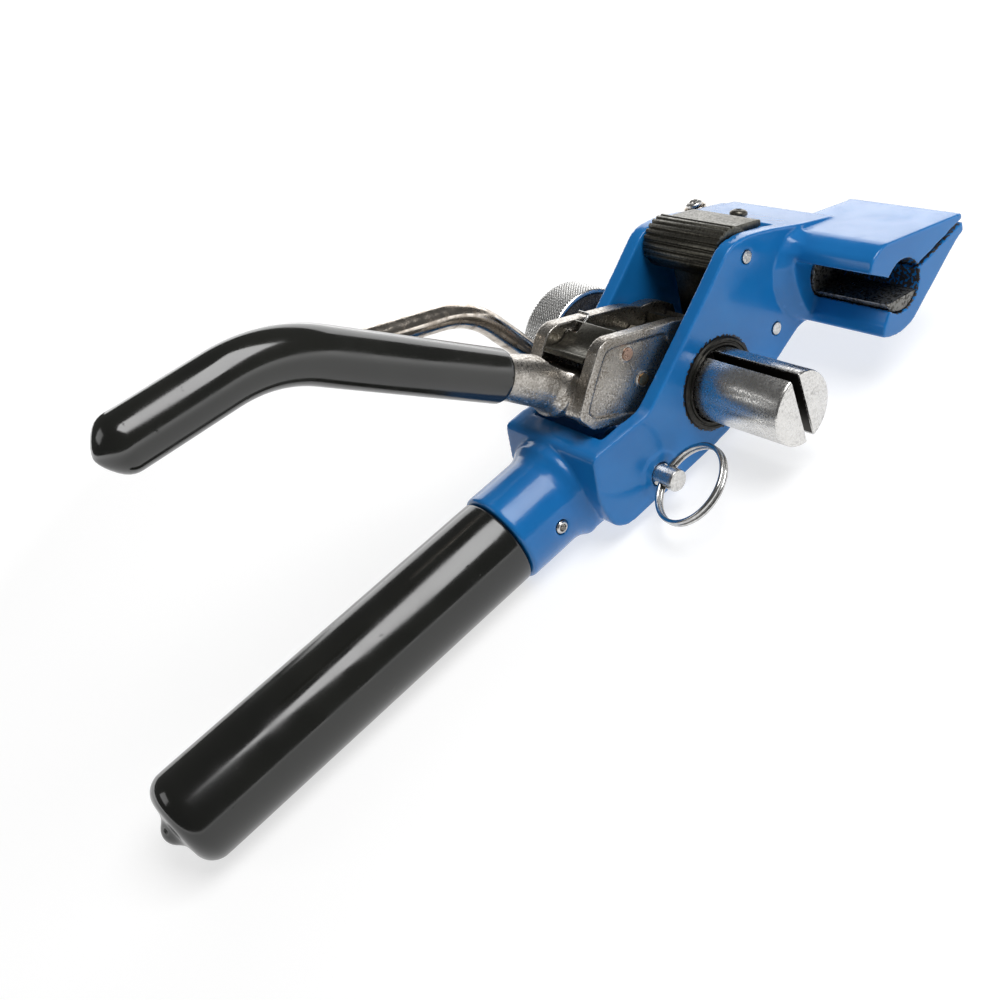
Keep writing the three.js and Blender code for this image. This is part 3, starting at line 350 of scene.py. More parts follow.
def blue_enamel():
    """Thick baked enamel: a little uneven, with bare iron at the bush, the slit and the sharp tips, and
    painted highlights that lighten its rounded edges.
    """
    material, tree, shader = finish_nodes(
        "blue_enamel", Roughness=0.2, IOR=1.42, Coat_Weight=0.12, Coat_Roughness=0.05
    )
    tone = blend_colour(tree, grain(tree, 45), ENAMEL_DEEP, ENAMEL_BLUE)
    x, y, z = place(tree)
    ragged = between(tree, grain(tree, 900, 0.3, 0.7, 5), 0, 1, -0.55, 0.75)
    rim = sums(tree, "SUBTRACT", from_axis(tree, x, z, (0, 0)), 15.9)
    near_bush = sums(tree, "LESS_THAN", sums(tree, "ADD", rim, ragged), 0.0)
    on_cheek = sums(tree, "LESS_THAN", y, BODY_RIGHT + 1.2)
    bare = sums(tree, "MULTIPLY", near_bush, on_cheek)
    bore = sums(tree, "SUBTRACT", from_axis(tree, x, z, CUTTER), CUTTER_R + 0.55)
    in_bore = sums(tree, "LESS_THAN", sums(tree, "ADD", bore, ragged), 0.0)
    bare = sums(tree, "MAXIMUM", bare, sums(tree, "MULTIPLY", in_bore,
                                            sums(tree, "LESS_THAN", y, BODY_RIGHT)))
    slit_line = sums(tree, "ADD", sums(tree, "MULTIPLY", sums(tree, "SUBTRACT", x, 62.2), 1.8 / 27.8), 8.9)
    off_slit = sums(tree, "ABSOLUTE", sums(tree, "SUBTRACT", z, slit_line))
    in_slit = sums(tree, "LESS_THAN", sums(tree, "ADD", off_slit, sums(tree, "MULTIPLY", ragged, 0.5)), 0.85)
    in_slit = sums(tree, "MULTIPLY", in_slit, sums(tree, "GREATER_THAN", x, 60.0))
    in_slit = sums(tree, "MULTIPLY", in_slit, sums(tree, "LESS_THAN", y, NOSE_END + STRAP_WIDTH))
    bare = sums(tree, "MAXIMUM", bare, in_slit)
    geometry = tree.nodes.new("ShaderNodeNewGeometry")
    edge = between(tree, geometry.outputs["Pointiness"], 0.56, 0.66, 0, 1)
    fleck = sums(tree, "MULTIPLY", edge, grain(tree, 1300, 0.6, 0.66, 4))
    tip = between(tree, x, 50, 84, 0.15, 1)
    fleck = sums(tree, "MULTIPLY", fleck, tip)
    iron = blend_colour(tree, grain(tree, 1500), (0.010, 0.009, 0.008, 1), (0.04, 0.032, 0.026, 1))
    # Painted highlight: rounded, convex edges are mixed towards a lighter blue.
    painted_edge_highlight = between(tree, geometry.outputs["Pointiness"], 0.5, 0.6, 0, 0.3)
    tone = blend_colour(tree, painted_edge_highlight, tone, (0.05, 0.25, 0.62, 1))
    tone = blend_colour(tree, fleck, tone, (0.06, 0.04, 0.03, 1))
    tree.links.new(blend_colour(tree, bare, tone, iron), shader.inputs["Base Color"])
    smooth = between(tree, grain(tree, 120), 0, 1, 0.16, 0.26)
    rough = sums(tree, "MAXIMUM", smooth, sums(tree, "MULTIPLY", bare, 0.5))
    tree.links.new(rough, shader.inputs["Roughness"])
    peel = sums(tree, "ADD", sums(tree, "MULTIPLY", grain(tree, 260, 0.2, 0.8, 2), 0.8),
                sums(tree, "MULTIPLY", bare, sums(tree, "MULTIPLY", grain(tree, 2200), 2.0)))
    relief(tree, shader, peel, 0.03)
    return material


def part_done(thing, finish, slot, body, *nodes):
    """Gives a piece its finish, hangs it on the empty of the body it rides on, and hides the solids it stands
    for.
    """
    thing.data.materials.clear()
    thing.data.materials.append(finish)
    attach(thing, body)
    if nodes:
        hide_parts(*nodes)
    return thing


def fillet_sections():
    """The hollow fillet that carries the nose's rear face into the right cheek."""
    for share in (-0.05, 0.15, 0.3, 0.45, 0.6, 0.72, 0.82, 0.9, 0.96, 1):
        flare = (1 - math.sqrt(1 - (0.86 * max(share, 0)) ** 2)) / (1 - math.sqrt(1 - 0.86**2))
        y = BODY_RIGHT - FILLET_REACH * (1 - share) + (1 if share == 1 else 0)
        yield [
            (xs + (xw - xs) * flare, y, zs + (zw - zs) * flare)
            for (xs, zs), (xw, zw) in zip(FILLET_SLIM, FILLET_WIDE)
        ]


def body_firm(x, y, z):
    """Where the casting was machined after it was cast, and its sharp tips."""
    bush = y < CHEEK_IN_RIGHT and abs(math.hypot(x, z) - 14.5) < 0.9
    bore = y < BODY_RIGHT and math.hypot(x - CUTTER[0], z - CUTTER[1]) < CUTTER_R + 1.1
    holes = any(math.hypot(x - px, z - pz) < PIN_R + 1 for px, pz in (HOLD_PIN, STOP_PIN))
    pull = math.hypot(x - PULL[0], z - PULL[1]) < PULL_R + 1
    fillet = BODY_RIGHT - 1.3 < y < BODY_RIGHT + 0.4 and 31 < x < 45 and -4 < z < 28
    slit = x > 60 and abs(z - 8.9 - (x - 62.2) * 0.065) < 1.3 and y < NOSE_END + STRAP_WIDTH + 0.6
    return bush or bore or holes or pull or fillet or slit or x > 85.5


socket_profile = [
    (0, SOCKET_MOUTH), (SOCKET_R - 0.8, SOCKET_MOUTH), (SOCKET_R, SOCKET_MOUTH + 0.8), (SOCKET_R, -62.5),
    (SOCKET_R + 0.5, -60.2), (SOCKET_R + 1.2, -58.8), (SOCKET_R + 2.2, -57.4), (SOCKET_R + 2.6, -52),
    (0, -52),
]
casting = made(
    "body_casting_enamelled",
    slab(BODY_SIDE, BODY_RIGHT, BODY_LEFT),
    slab(NOSE_SIDE, NOSE_END, NOSE_INSIDE),
    slab([(45, 20), (49, 25.5, 2), (67, 19.6), (67, 0), (54.5, -7.5, 4), (45, -5)], NOSE_INSIDE - 1, -16.2),
    slab(
        [(44.2, 21, 3), (47.5, 27.6, 3), (66, 20, 3), (66.5, 1, 5), (59.5, -6.4, 4), (50, -7, 4),
         (43.5, -1, 4)],
        BODY_LEFT - 1, BOSS_FACE,
    ),
    skin(list(fillet_sections())),
    turned(socket_profile, (0, 0, HANDLE_Z), (1, 0, 0)),
    turned([(0, BODY_RIGHT + 1), (8.4, BODY_RIGHT + 1), (7.4, BODY_RIGHT - 0.45), (0, BODY_RIGHT - 0.45)],
           (PULL[0], 0, PULL[1])),
)
carve(
    casting,
    slab(WELL, CHEEK_IN_RIGHT, CHEEK_IN_LEFT),
    slab([(39, 60), (39, 29.2), (44.4, 29.2), (44.4, 60)], CHEEK_IN_RIGHT, CHEEK_IN_LEFT),
    slab([(-18, -25), (18, -25), (18, -6), (-18, -6)], CHEEK_IN_RIGHT, CHEEK_IN_LEFT),
    bar(6, CHEEK_IN_RIGHT, CHEEK_IN_LEFT, PULL),
    turned([(0, SOCKET_MOUTH - 1), (TUBE_R + 0.3, SOCKET_MOUTH - 1),
            (TUBE_R + 0.3, SOCKET_MOUTH + SOCKET_DEPTH),
            (0, SOCKET_MOUTH + SOCKET_DEPTH)], (0, 0, HANDLE_Z), (1, 0, 0)),
    slab([(62.2, 8.9 - SLIT / 2), (90, 10.7 - SLIT / 2), (90, 10.7 + SLIT / 2), (62.2, 8.9 + SLIT / 2)],
         NOSE_END - 1, NOSE_END + STRAP_WIDTH),
    slab(STRAP_WINDOW, NOSE_END - 1, NOSE_END + STRAP_WIDTH),
    bar(CUTTER_R + 0.3, NOSE_END - 1, BOSS_FACE + 1, CUTTER),
    bar(14.5, BODY_RIGHT - 1, CHEEK_IN_RIGHT + 1),
    bar(11.3, CHEEK_IN_LEFT - 1, BODY_LEFT + 1),
    bar(PULL_R + 0.3, BODY_RIGHT - 1, CHEEK_IN_RIGHT + 1, PULL),
    bar(PIN_R + 0.25, BODY_RIGHT - 1, BODY_LEFT + 1, HOLD_PIN),
    bar(PIN_R + 0.25, BODY_RIGHT - 1, BODY_LEFT + 1, STOP_PIN),
    bar(2.5, -SOCKET_R - 2, -TUBE_R, (SCREW_X, HANDLE_Z)),
    slab([(-100, -40), (-50, -40), (-50, HANDLE_Z - SOCKET_R), (-100, HANDLE_Z - SOCKET_R)], -30, 30),
    slab([(-55.8, -40), (-45, -40), (-45, BODY_BOTTOM), (-55.8, BODY_BOTTOM)], -30, 30),
)
cast_skin(casting, 0.5, 9, body_firm)
part_done(casting, blue_enamel(), "blue_enamel", "frame", "body_casting")

# ---------------------------------------------------------------------------- handle tube, grip and screw
# A steel tube pressed into the socket and held by a set screw from the right. Its grip is a sleeve of black
# vinyl that was dipped on, so it is glossy, softly uneven, and ends in a dome with a hanging drip.
GRIP_R, GRIP_END = 15, -210
VINYL = (0.0075, 0.0080, 0.0070, 1)


def black_vinyl():
    """Dipped vinyl: very glossy black, with long shallow waves and a few specks of dust in the skin."""
    material, tree, shader = finish_nodes("black_vinyl", Roughness=0.14, IOR=1.62)
    tone = blend_colour(tree, grain(tree, 30), VINYL, (0.012, 0.0125, 0.0105, 1))
    tree.links.new(tone, shader.inputs["Base Color"])
    tree.links.new(between(tree, grain(tree, 80), 0, 1, 0.1, 0.19), shader.inputs["Roughness"])
    waves = grain(tree, 28, 0.2, 0.8, 1.5, (0.35, 1, 1))
    specks = grain(tree, 420, 0.72, 0.8, 2)
    height = sums(tree, "ADD", sums(tree, "MULTIPLY", waves, 0.9), sums(tree, "MULTIPLY", specks, 0.12))
    relief(tree, shader, height, 0.35)
    return material


def plated(name, tone, shadow, rough, speck=900, depth=0.02):
    """Plated or bare metal: speckled between two tones and two roughnesses, with fine tool marks."""
    material, tree, shader = finish_nodes(name, Metallic=1.0, Roughness=rough[0])
    spots = grain(tree, speck, 0.38, 0.62, 5)
    clouds = grain(tree, 90, 0.3, 0.7, 3)
    share = sums(tree, "MULTIPLY", spots, sums(tree, "ADD", sums(tree, "MULTIPLY", clouds, 0.6), 0.4))
    tree.links.new(blend_colour(tree, share, tone, shadow), shader.inputs["Base Color"])
    tree.links.new(between(tree, spots, 0, 1, rough[0], rough[1]), shader.inputs["Roughness"])
    relief(tree, shader, spots, depth)
    return material


def soften(thing, width=0.3, segments=3, angle=35):
    """A small round on every sharp edge."""
    edge = thing.modifiers.new("edge", "BEVEL")
    edge.width, edge.segments, edge.limit_method = width / 1000, segments, "ANGLE"
    edge.angle_limit = math.radians(angle)
    edge.harden_normals = False


def carried(node, finish, width=0.25):
    """A turned or milled solid kept as it is, with its own finish and softened edges."""
    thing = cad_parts[node]
    thing.data.materials.clear()
    thing.data.materials.append(finish)
    if width:
        soften(thing, width)


vinyl = black_vinyl()
bare_steel = plated("bare_steel", (0.30, 0.30, 0.30, 1), (0.14, 0.13, 0.12, 1), (0.35, 0.55))
zinc = plated("zinc_plate", (0.72, 0.71, 0.69, 1), (0.46, 0.45, 0.43, 1), (0.2, 0.36), 900, 0.008)
carried("handle_tube", bare_steel)
front = SOCKET_MOUTH - 0.4
grip_profile = [(TUBE_R + 0.3, front), (GRIP_R - 0.9, front)]
grip_profile += [
    (GRIP_R - 1.1 + 1.1 * math.sin(math.radians(a)), front - 1.1 + 1.1 * math.cos(math.radians(a)))
    for a in range(15, 91, 15)
]
grip_profile += [(GRIP_R, front - 5 - (front - GRIP_END - 13) * s / 30) for s in range(31)]
grip_profile += [
    (GRIP_R - 6.5 + 6.5 * math.cos(math.radians(a)), GRIP_END + 6.8 - 6.6 * math.sin(math.radians(a)))
    for a in range(8, 81, 8)
]
grip_profile += [(6.2, GRIP_END - 0.15), (5.1, GRIP_END - 0.6), (4.2, GRIP_END - 1.3), (3.4, GRIP_END - 2.1),
                 (2.5, GRIP_END - 2.8), (1.5, GRIP_END - 3.25), (0.7, GRIP_END - 3.45), (0, GRIP_END - 3.5)]
grip_profile += [(0, GRIP_END + 5.7), (TUBE_R + 0.3, GRIP_END + 5.7), (TUBE_R + 0.3, front)]
grip = made("handle_grip_dipped",
            turned(grip_profile[:-1] + [grip_profile[0]], (0, 0, HANDLE_Z), (1, 0, 0), 128))
shade(grip, 50)
part_done(grip, vinyl, "black_vinyl", "frame", "handle_grip")

set_screw = made("set_screw_hex", turned(
    [(0, -12), (2.15, -12), (2.15, -15.5), (1.7, -15.95), (1.35, -15.95), (1.25, -14.2), (0, -13.9)],
    (SCREW_X, 0, HANDLE_Z), (0, 1, 0), 6 * 8))
shade(set_screw)
part_done(set_screw, zinc, "zinc_plate", "frame", "handle_set_screw")

# ------------------------------------------------------------------------------------- bushes and fixed pins
# The right bush is a blackened steel ring with a thin rim and an oil groove; the left one is bronze.
# Two bright pins are driven through both cheeks, and a black button screw closes the spring hole on top.
BUSH_R, BUSH_RIM_R, SHAFT_R = 14.2, 15.3, 12
black_steel = plated(
    "blackened_steel", (0.15, 0.142, 0.12, 1), (0.07, 0.066, 0.056, 1), (0.3, 0.48), 1100, 0.012
)
bronze = plated("bronze", (0.42, 0.26, 0.13, 1), (0.20, 0.12, 0.06, 1), (0.3, 0.45))
bright = plated("bright_steel", (0.66, 0.66, 0.64, 1), (0.42, 0.42, 0.41, 1), (0.16, 0.3), 1400, 0.008)
bore = SHAFT_R + 0.3
bush = made("windlass_bush_grooved", turned(
    [(bore, BODY_RIGHT - 0.5), (bore + 0.4, BODY_RIGHT - 1.1), (13.3, BODY_RIGHT - 1.1),
     (13.5, BODY_RIGHT - 0.7),
     (13.9, BODY_RIGHT - 0.7), (14.1, BODY_RIGHT - 1.05), (BUSH_RIM_R - 0.5, BODY_RIGHT - 1.05),
     (BUSH_RIM_R, BODY_RIGHT - 0.6), (BUSH_RIM_R, BODY_RIGHT - 0.3), (BUSH_R, BODY_RIGHT - 0.3),
     (BUSH_R, CHEEK_IN_RIGHT), (bore, CHEEK_IN_RIGHT), (bore, BODY_RIGHT - 0.5)]))
shade(bush)
bush_black = plated(
    "oiled_black_bush", (0.05, 0.048, 0.043, 1), (0.025, 0.024, 0.022, 1), (0.35, 0.5), 1100, 0.008
)
part_done(bush, bush_black, "blackened_steel", "frame", "windlass_bush_right")
carried("windlass_bush_left", bronze)
carried("holding_pawl_pin", bright, 0.35)
carried("stop_pin", bright, 0.35)
slope = math.atan2(TOP_REAR[1] - TOP_FRONT[1], TOP_FRONT[0] - TOP_REAR[0])
screw_foot = (48.2, -0.9, TOP_REAR[1] - (48.2 - TOP_REAR[0]) * math.tan(slope))
screw_way = (math.sin(slope), 0, math.cos(slope))
button = made("button_screw_domed", turned(
    [(0, -6), (1.6, -6), (1.6, 0.3), (2.8, 0.3), (3, 0.5), (3, 1.2), (2.75, 1.6), (2.2, 1.95), (1.5, 2.2),
     (1.2, 2.25), (1.05, 1.2), (0, 1.1)], screw_foot, screw_way, 48))
shade(button)
part_done(button, black_steel, "blackened_steel", "frame", "button_screw")

# --------------------------------------------------------------------------- windlass, ratchet wheel and knob
# A zinc-plated steel shaft across the body. Its right end is slotted for the strap; the ratchet wheel is
# keyed to its middle, and a knurled knob is screwed to its left end to wind the strap in by hand.
SHAFT_END, SLOT_W, SEAT_R, JOURNAL_R, STUB_R = BODY_RIGHT - 34, 3.6, 10.4, 9, 5
HEAD_IN_RIGHT, HEAD_IN_LEFT = -12.9, 6.1
KNOB_R, KNOB_W = 20.5, 15
KNURL_STARTS, KNURL_DEPTH = 104, 0.4
stub_end = KNOB_FROM + KNOB_W - 3
shaft = made("windlass_shaft_slotted", turned(
    [(0, SHAFT_END), (SHAFT_R - 0.9, SHAFT_END), (SHAFT_R - 0.25, SHAFT_END + 0.25),
     (SHAFT_R, SHAFT_END + 0.9),
     (SHAFT_R, HEAD_IN_RIGHT), (SEAT_R, HEAD_IN_RIGHT), (SEAT_R, HEAD_IN_LEFT), (JOURNAL_R, HEAD_IN_LEFT),
     (JOURNAL_R, BODY_LEFT + 2.2), (STUB_R, BODY_LEFT + 2.2), (STUB_R, stub_end), (2.5, stub_end),
     (2.5, stub_end - 12), (0, stub_end - 12)]))
carve(
    shaft,
    slab([(-SLOT_W / 2, -13), (SLOT_W / 2, -13), (SLOT_W / 2, 13), (-SLOT_W / 2, 13)], SHAFT_END - 1,
         BODY_RIGHT + 0.4),
    slab([(-1.8, -12.3), (1.8, -12.3), (1.8, -8.5), (-1.8, -8.5)], -12.4, 5.6),
)
soften(shaft, 0.45, 3, 40)
settle(shaft)
shade(shaft, 30)


def plated_shaft():
    """Zinc over a ground shaft: satin and mottled, bright on the lips of the slot, with painted shade that
    makes the inside of the slot black.
    """
    material, tree, shader = finish_nodes("zinc_shaft", Metallic=1.0, Roughness=0.3)
    spots = grain(tree, 1700, 0.38, 0.68, 4)
    clouds = grain(tree, 130, 0.3, 0.7, 4)
    share = sums(tree, "MULTIPLY", spots, clouds)
    tone = blend_colour(tree, share, (0.74, 0.73, 0.71, 1), (0.42, 0.41, 0.40, 1))
    x, y, z = place(tree)
    # Painted shade: the walls deep inside the slot are painted near black and rougher.
    wall = sums(tree, "LESS_THAN", sums(tree, "ABSOLUTE", x), SLOT_W / 2 + 0.05)
    deep = sums(tree, "LESS_THAN", from_axis(tree, x, z, (0, 0)), SHAFT_R - 0.7)
    deep = sums(tree, "MULTIPLY", deep, sums(tree, "GREATER_THAN", y, SHAFT_END + 0.8))
    painted_slot_shade = sums(tree, "MULTIPLY", wall, deep)
    tone = blend_colour(tree, painted_slot_shade, tone, (0.05, 0.045, 0.04, 1))
    tree.links.new(tone, shader.inputs["Base Color"])
    rough = between(tree, sums(tree, "ADD", spots, painted_slot_shade), 0, 1, 0.2, 0.42)
    tree.links.new(rough, shader.inputs["Roughness"])
    relief(tree, shader, sums(tree, "ADD", sums(tree, "MULTIPLY", clouds, 0.5), spots), 0.0035)
    return material


part_done(shaft, plated_shaft(), "zinc_plate", "windlass", "windlass_shaft")
carried("ratchet_wheel", black_steel, 0.3)
carried("wheel_key", bright)
carried("thrust_washer", zinc, 0.3)


def knurled_knob():
    """A turned knob with a diamond knurl on its rim and a dished outer face."""
    to = KNOB_FROM + KNOB_W
    profile = [(STUB_R + 0.3, KNOB_FROM + 0.6), (STUB_R + 0.8, KNOB_FROM), (10, KNOB_FROM),
               (10.4, KNOB_FROM + 0.5),
               (17.4, KNOB_FROM + 0.5), (18, KNOB_FROM), (KNOB_R - 1.1, KNOB_FROM),
               (KNOB_R - 0.45, KNOB_FROM + 0.45)]
    rows = 64
    profile += [(KNOB_R, KNOB_FROM + 0.9 + (KNOB_W - 1.8) * i / rows) for i in range(rows + 1)]
    profile += [(KNOB_R - 0.45, to - 0.45), (KNOB_R - 1.1, to), (KNOB_R - 4, to), (KNOB_R - 5, to - 1),
                (STUB_R + 0.3, to - 1), (STUB_R + 0.3, KNOB_FROM + 0.6)]
    sides = KNURL_STARTS * 7
    points, faces = turned(profile, sides=sides)
    lead = 2 * math.pi * KNOB_R / KNURL_STARTS
    for n, (x, y, z) in enumerate(points):
        radius = math.hypot(x, z)
        if radius > KNOB_R - 0.05:
            turn = math.atan2(z, x) * KNURL_STARTS / (2 * math.pi)
            rise = (y - KNOB_FROM) / lead
            ridges = [abs((turn + way * rise) % 1 - 0.5) * 2 for way in (1, -1)]
            sunk = KNURL_DEPTH * (1 - min(ridges) ** 0.8)
            points[n] = (x * (1 - sunk / radius), y, z * (1 - sunk / radius))
    return points, faces


knob = made("winding_knob_knurled", knurled_knob())
shade(knob, 40)


def knob_finish():
    """Bright zinc on the knurled rim; the turned faces are darker, with fine rings left by the tool."""
    material, tree, shader = finish_nodes("zinc_knob", Metallic=1.0, Roughness=0.25)
    x, y, z = place(tree)
    radius = from_axis(tree, x, z, (0, 0))
    rim = sums(tree, "GREATER_THAN", radius, KNOB_R - 1.6)
    spots = grain(tree, 700, 0.38, 0.62, 4)
    bright_rim = blend_colour(tree, spots, (0.86, 0.86, 0.85, 1), (0.66, 0.65, 0.63, 1))
    dark_face = blend_colour(tree, spots, (0.10, 0.10, 0.105, 1), (0.05, 0.05, 0.055, 1))
    tree.links.new(blend_colour(tree, rim, dark_face, bright_rim), shader.inputs["Base Color"])
    tree.links.new(between(tree, spots, 0, 1, 0.18, 0.3), shader.inputs["Roughness"])
    rings = sums(tree, "SINE", sums(tree, "MULTIPLY", radius, 18.0))
    relief(tree, shader, sums(tree, "MULTIPLY", rings, sums(tree, "SUBTRACT", 1.0, rim)), 0.004)
    return material


part_done(knob, knob_finish(), "zinc_plate", "windlass", "winding_knob")
face = KNOB_FROM + KNOB_W - 1
knob_screw = made("knob_screw_socket", turned(
    [(0, stub_end - 11), (2.2, stub_end - 11), (2.2, face + 0.3), (7.1, face + 0.3), (7.5, face + 0.6),
     (7.5, face + 1.3), (7.2, face + 1.6), (4.5, face + 1.6), (4.4, face + 3.6), (4, face + 4.3),
     (3.3, face + 4.55), (2.2, face + 4.6), (1.9, face + 4.3), (1.9, face + 2), (0, face + 1.9)]))
shade(knob_screw)
part_done(knob_screw, black_steel, "blackened_steel", "windlass", "knob_screw")

# -------------------------------------------------------------------------------- ratchet lever's cast head
# Two plates astride the ratchet wheel, joined behind by a web that runs out into a round neck. It is cast,
# nickel plated rough as it came, with a raised rim round each plate and brown stain left in its hollows.
LEVER_RIGHT, LEVER_LEFT = -17.3, 11.5
DRIVE_PIN, HEAD_PIN = (-24.2, 27.4), (-21.8, 15.9)
LEVER_ANGLE, LEVER_BEND, LEVER_LEG_1, LEVER_LEG_2 = 42, 37.5, 82, 44
LEVER_ROD_R, LEVER_GRIP_R, LEVER_BARE = 5.6, 8.3, 5.2
lever_neck = Vector((-54.6, 0, 36))
leg_one = Vector((-math.cos(math.radians(LEVER_ANGLE)), 0, math.sin(math.radians(LEVER_ANGLE))))
leg_two_angle = math.radians(LEVER_ANGLE - LEVER_BEND)
leg_two = Vector((-math.cos(leg_two_angle), 0, math.sin(leg_two_angle)))
lever_corner = lever_neck + leg_one * LEVER_LEG_1
lever_end = lever_corner + leg_two * LEVER_LEG_2


def polar(radius, degrees, centre=(0, 0)):
    a = math.radians(degrees)
    return centre[0] + radius * math.cos(a), centre[1] + radius * math.sin(a)


def nickel_casting():
    """Rough nickel plate: pale and grainy where it stands proud, stained brown in the hollows."""
    material, tree, shader = finish_nodes("cast_nickel", Metallic=1.0, Roughness=0.35)
    pits = grain(tree, 1500, 0.36, 0.64, 6)
    clouds = grain(tree, 140, 0.32, 0.62, 4)
    geometry = tree.nodes.new("ShaderNodeNewGeometry")
    hollow = between(tree, geometry.outputs["Pointiness"], 0.5, 0.44, 0, 1)
    proud = between(tree, geometry.outputs["Pointiness"], 0.52, 0.6, 0, 1)
    share = sums(tree, "MULTIPLY", pits, sums(tree, "ADD", sums(tree, "MULTIPLY", clouds, 0.75), 0.25))
    tone = blend_colour(tree, share, (0.48, 0.455, 0.42, 1), (0.16, 0.135, 0.105, 1))
    stain = sums(tree, "MULTIPLY", hollow, between(tree, clouds, 0, 1, 0.6, 1))
    tone = blend_colour(tree, stain, tone, (0.15, 0.10, 0.055, 1))
    tone = blend_colour(tree, proud, tone, (0.72, 0.70, 0.67, 1))
    tree.links.new(tone, shader.inputs["Base Color"])
    tree.links.new(between(tree, pits, 0, 1, 0.22, 0.45), shader.inputs["Roughness"])
    relief(tree, shader, sums(tree, "ADD", pits, sums(tree, "MULTIPLY", clouds, 0.8)), 0.022)
    return material


plate_outline = [polar(15.9, a) for a in range(-145, -19, 25)] + [polar(16, 8), polar(18.4, 24)]
plate_outline += [polar(20.9, a) for a in range(38, 81, 6)]
plate_outline += [(-1.2, 24.3, 3), (-29, 36.4, 1.5), (-33.2, 36.2, 2.4), (-41.5, 28.4, 2),
                  (-48.8, 20.8, 2.5), (-45.4, 13.6, 2), (-38.5, 10, 3), (-20, -1, 3)]
hollow_outline = [(-19, 28.9, 1), (-29, 33.2, 2), (-31.6, 33.2, 2), (-38.9, 26.4, 2),
                  (-45, 19.8, 1.5), (-43.2, 16.2, 1.5), (-37.4, 12.9, 3), (-19.4, 2, 3), (-8, -9, 2),
                  (-8, 24.2, 2)]
web_outline = [(-47.2, 18, 1.5), (-44.2, 13.4, 1.5), (-38.5, 10.4, 2), (-33, 9.6, 1), (-31.5, 16, 2),
               (-33, 24.8, 1), (-36, 26.9, 1), (-40, 29, 1), (-42, 27.4, 1)]
neck_foot = lever_neck - leg_one * 19
head = made(
    "lever_head_cast",
    slab(plate_outline, LEVER_RIGHT, HEAD_IN_RIGHT),
    slab(plate_outline, HEAD_IN_LEFT, LEVER_LEFT),
    slab(web_outline, HEAD_IN_RIGHT - 1, HEAD_IN_LEFT + 1),
)
neck = made("neck_blank", turned(
    [(0, 0), (10.6, 0), (10.6, 3.2), (9.4, 4.6), (8.5, 6.6), (8.1, 9), (7.8, 13), (7.4, 18), (6.9, 24.5),
     (0, 24.5)],
    neck_foot, leg_one))
carve(neck, slab([(-90, 0), (-32.5, 0), (-33, 25), (-36, 27), (-40, 29.6), (-43.2, 33.5), (-45, 44),
                  (-90, 80)],
                 LEVER_RIGHT, LEVER_LEFT), operation="INTERSECT")
join_step = head.modifiers.new("neck", "BOOLEAN")
join_step.object, join_step.operation, join_step.solver, join_step.use_self = neck, "UNION", "EXACT", True
settle(head)
bpy.data.objects.remove(neck)
carve(
    head,
    turned([(0, 6), (LEVER_ROD_R - 0.6, 6), (LEVER_ROD_R - 0.6, 27), (0, 27)], neck_foot, leg_one),
    bar(SHAFT_R + 0.3, LEVER_RIGHT - 1, HEAD_IN_RIGHT + 1),
    bar(JOURNAL_R + 0.3, HEAD_IN_LEFT - 1, LEVER_LEFT + 1),
    bar(PIN_R + 0.2, LEVER_RIGHT - 1, LEVER_LEFT + 1, DRIVE_PIN),
    bar(PIN_R + 0.2, LEVER_RIGHT - 1, LEVER_LEFT + 1, HEAD_PIN),
    slab(hollow_outline, LEVER_RIGHT - 1, LEVER_RIGHT + 0.55),
    slab(hollow_outline, LEVER_LEFT - 0.55, LEVER_LEFT + 1),
)
cast_skin(head, 0.33, 4, lambda x, y, z: any(
    math.hypot(x - px, z - pz) < PIN_R + 0.8 for px, pz in (DRIVE_PIN, HEAD_PIN)))
part_done(head, nickel_casting(), "cast_nickel", "lever", "lever_head")

# --------------------------------------------------------------------- lever rod, dipped grip, pins, spring
# A bent steel bar pressed into the neck, under a dipped vinyl sleeve with a blunt, pointed end. Two pins
# cross the head, one carries the drive pawl and its torsion spring, which hooks over the left plate.


def bent(points, bend, steps=14):
    """Points along straight runs joined by curved bends."""
    points = [Vector(p) for p in points]
    line = [points[0]]
    for i in range(1, len(points) - 1):
        corner = points[i]
        start = corner + (points[i - 1] - corner).normalized() * bend
        end = corner + (points[i + 1] - corner).normalized() * bend
        run = line[-1]
        line += [run.lerp(start, s / 8) for s in range(1, 8)]
        for s in range(steps + 1):
            t = s / steps
            line.append(start * (1 - t) ** 2 + corner * (2 * t * (1 - t)) + end * t**2)
    run = line[-1]
    line += [run.lerp(points[-1], s / 10) for s in range(1, 11)]
    return line


def swept(line, radius, sides=40):
    """A round bar along a line of points; radius is one number, or one for each point."""
    radii = radius if isinstance(radius, list) else [radius] * len(line)
    sections, across = [], None
    for i, p in enumerate(line):
        along = (line[min(i + 1, len(line) - 1)] - line[max(i - 1, 0)]).normalized()
        if across is None:
            across = along.orthogonal()
        across = (across - along * across.dot(along)).normalized()
        up = along.cross(across)
        sections.append([
            p + (across * math.cos(2 * math.pi * k / sides)
                 + up * math.sin(2 * math.pi * k / sides)) * radii[i]
            for k in range(sides)
        ])
    return skin(sections)


def nosed(line, radius, lead_in, lead_out):
    """The line with extra points at its ends, so that a swept bar closes in a rounded nose."""
    first, second, last, before = line[0], line[1], line[-1], line[-2]
    start_way, end_way = (second - first).normalized(), (last - before).normalized()
    points = ([first + start_way * d for d, _ in lead_in] + line[1:-1]
              + [last + end_way * d for d, _ in lead_out])
    radii = [r for _, r in lead_in] + [radius] * (len(line) - 2) + [r for _, r in lead_out]
    return points, radii


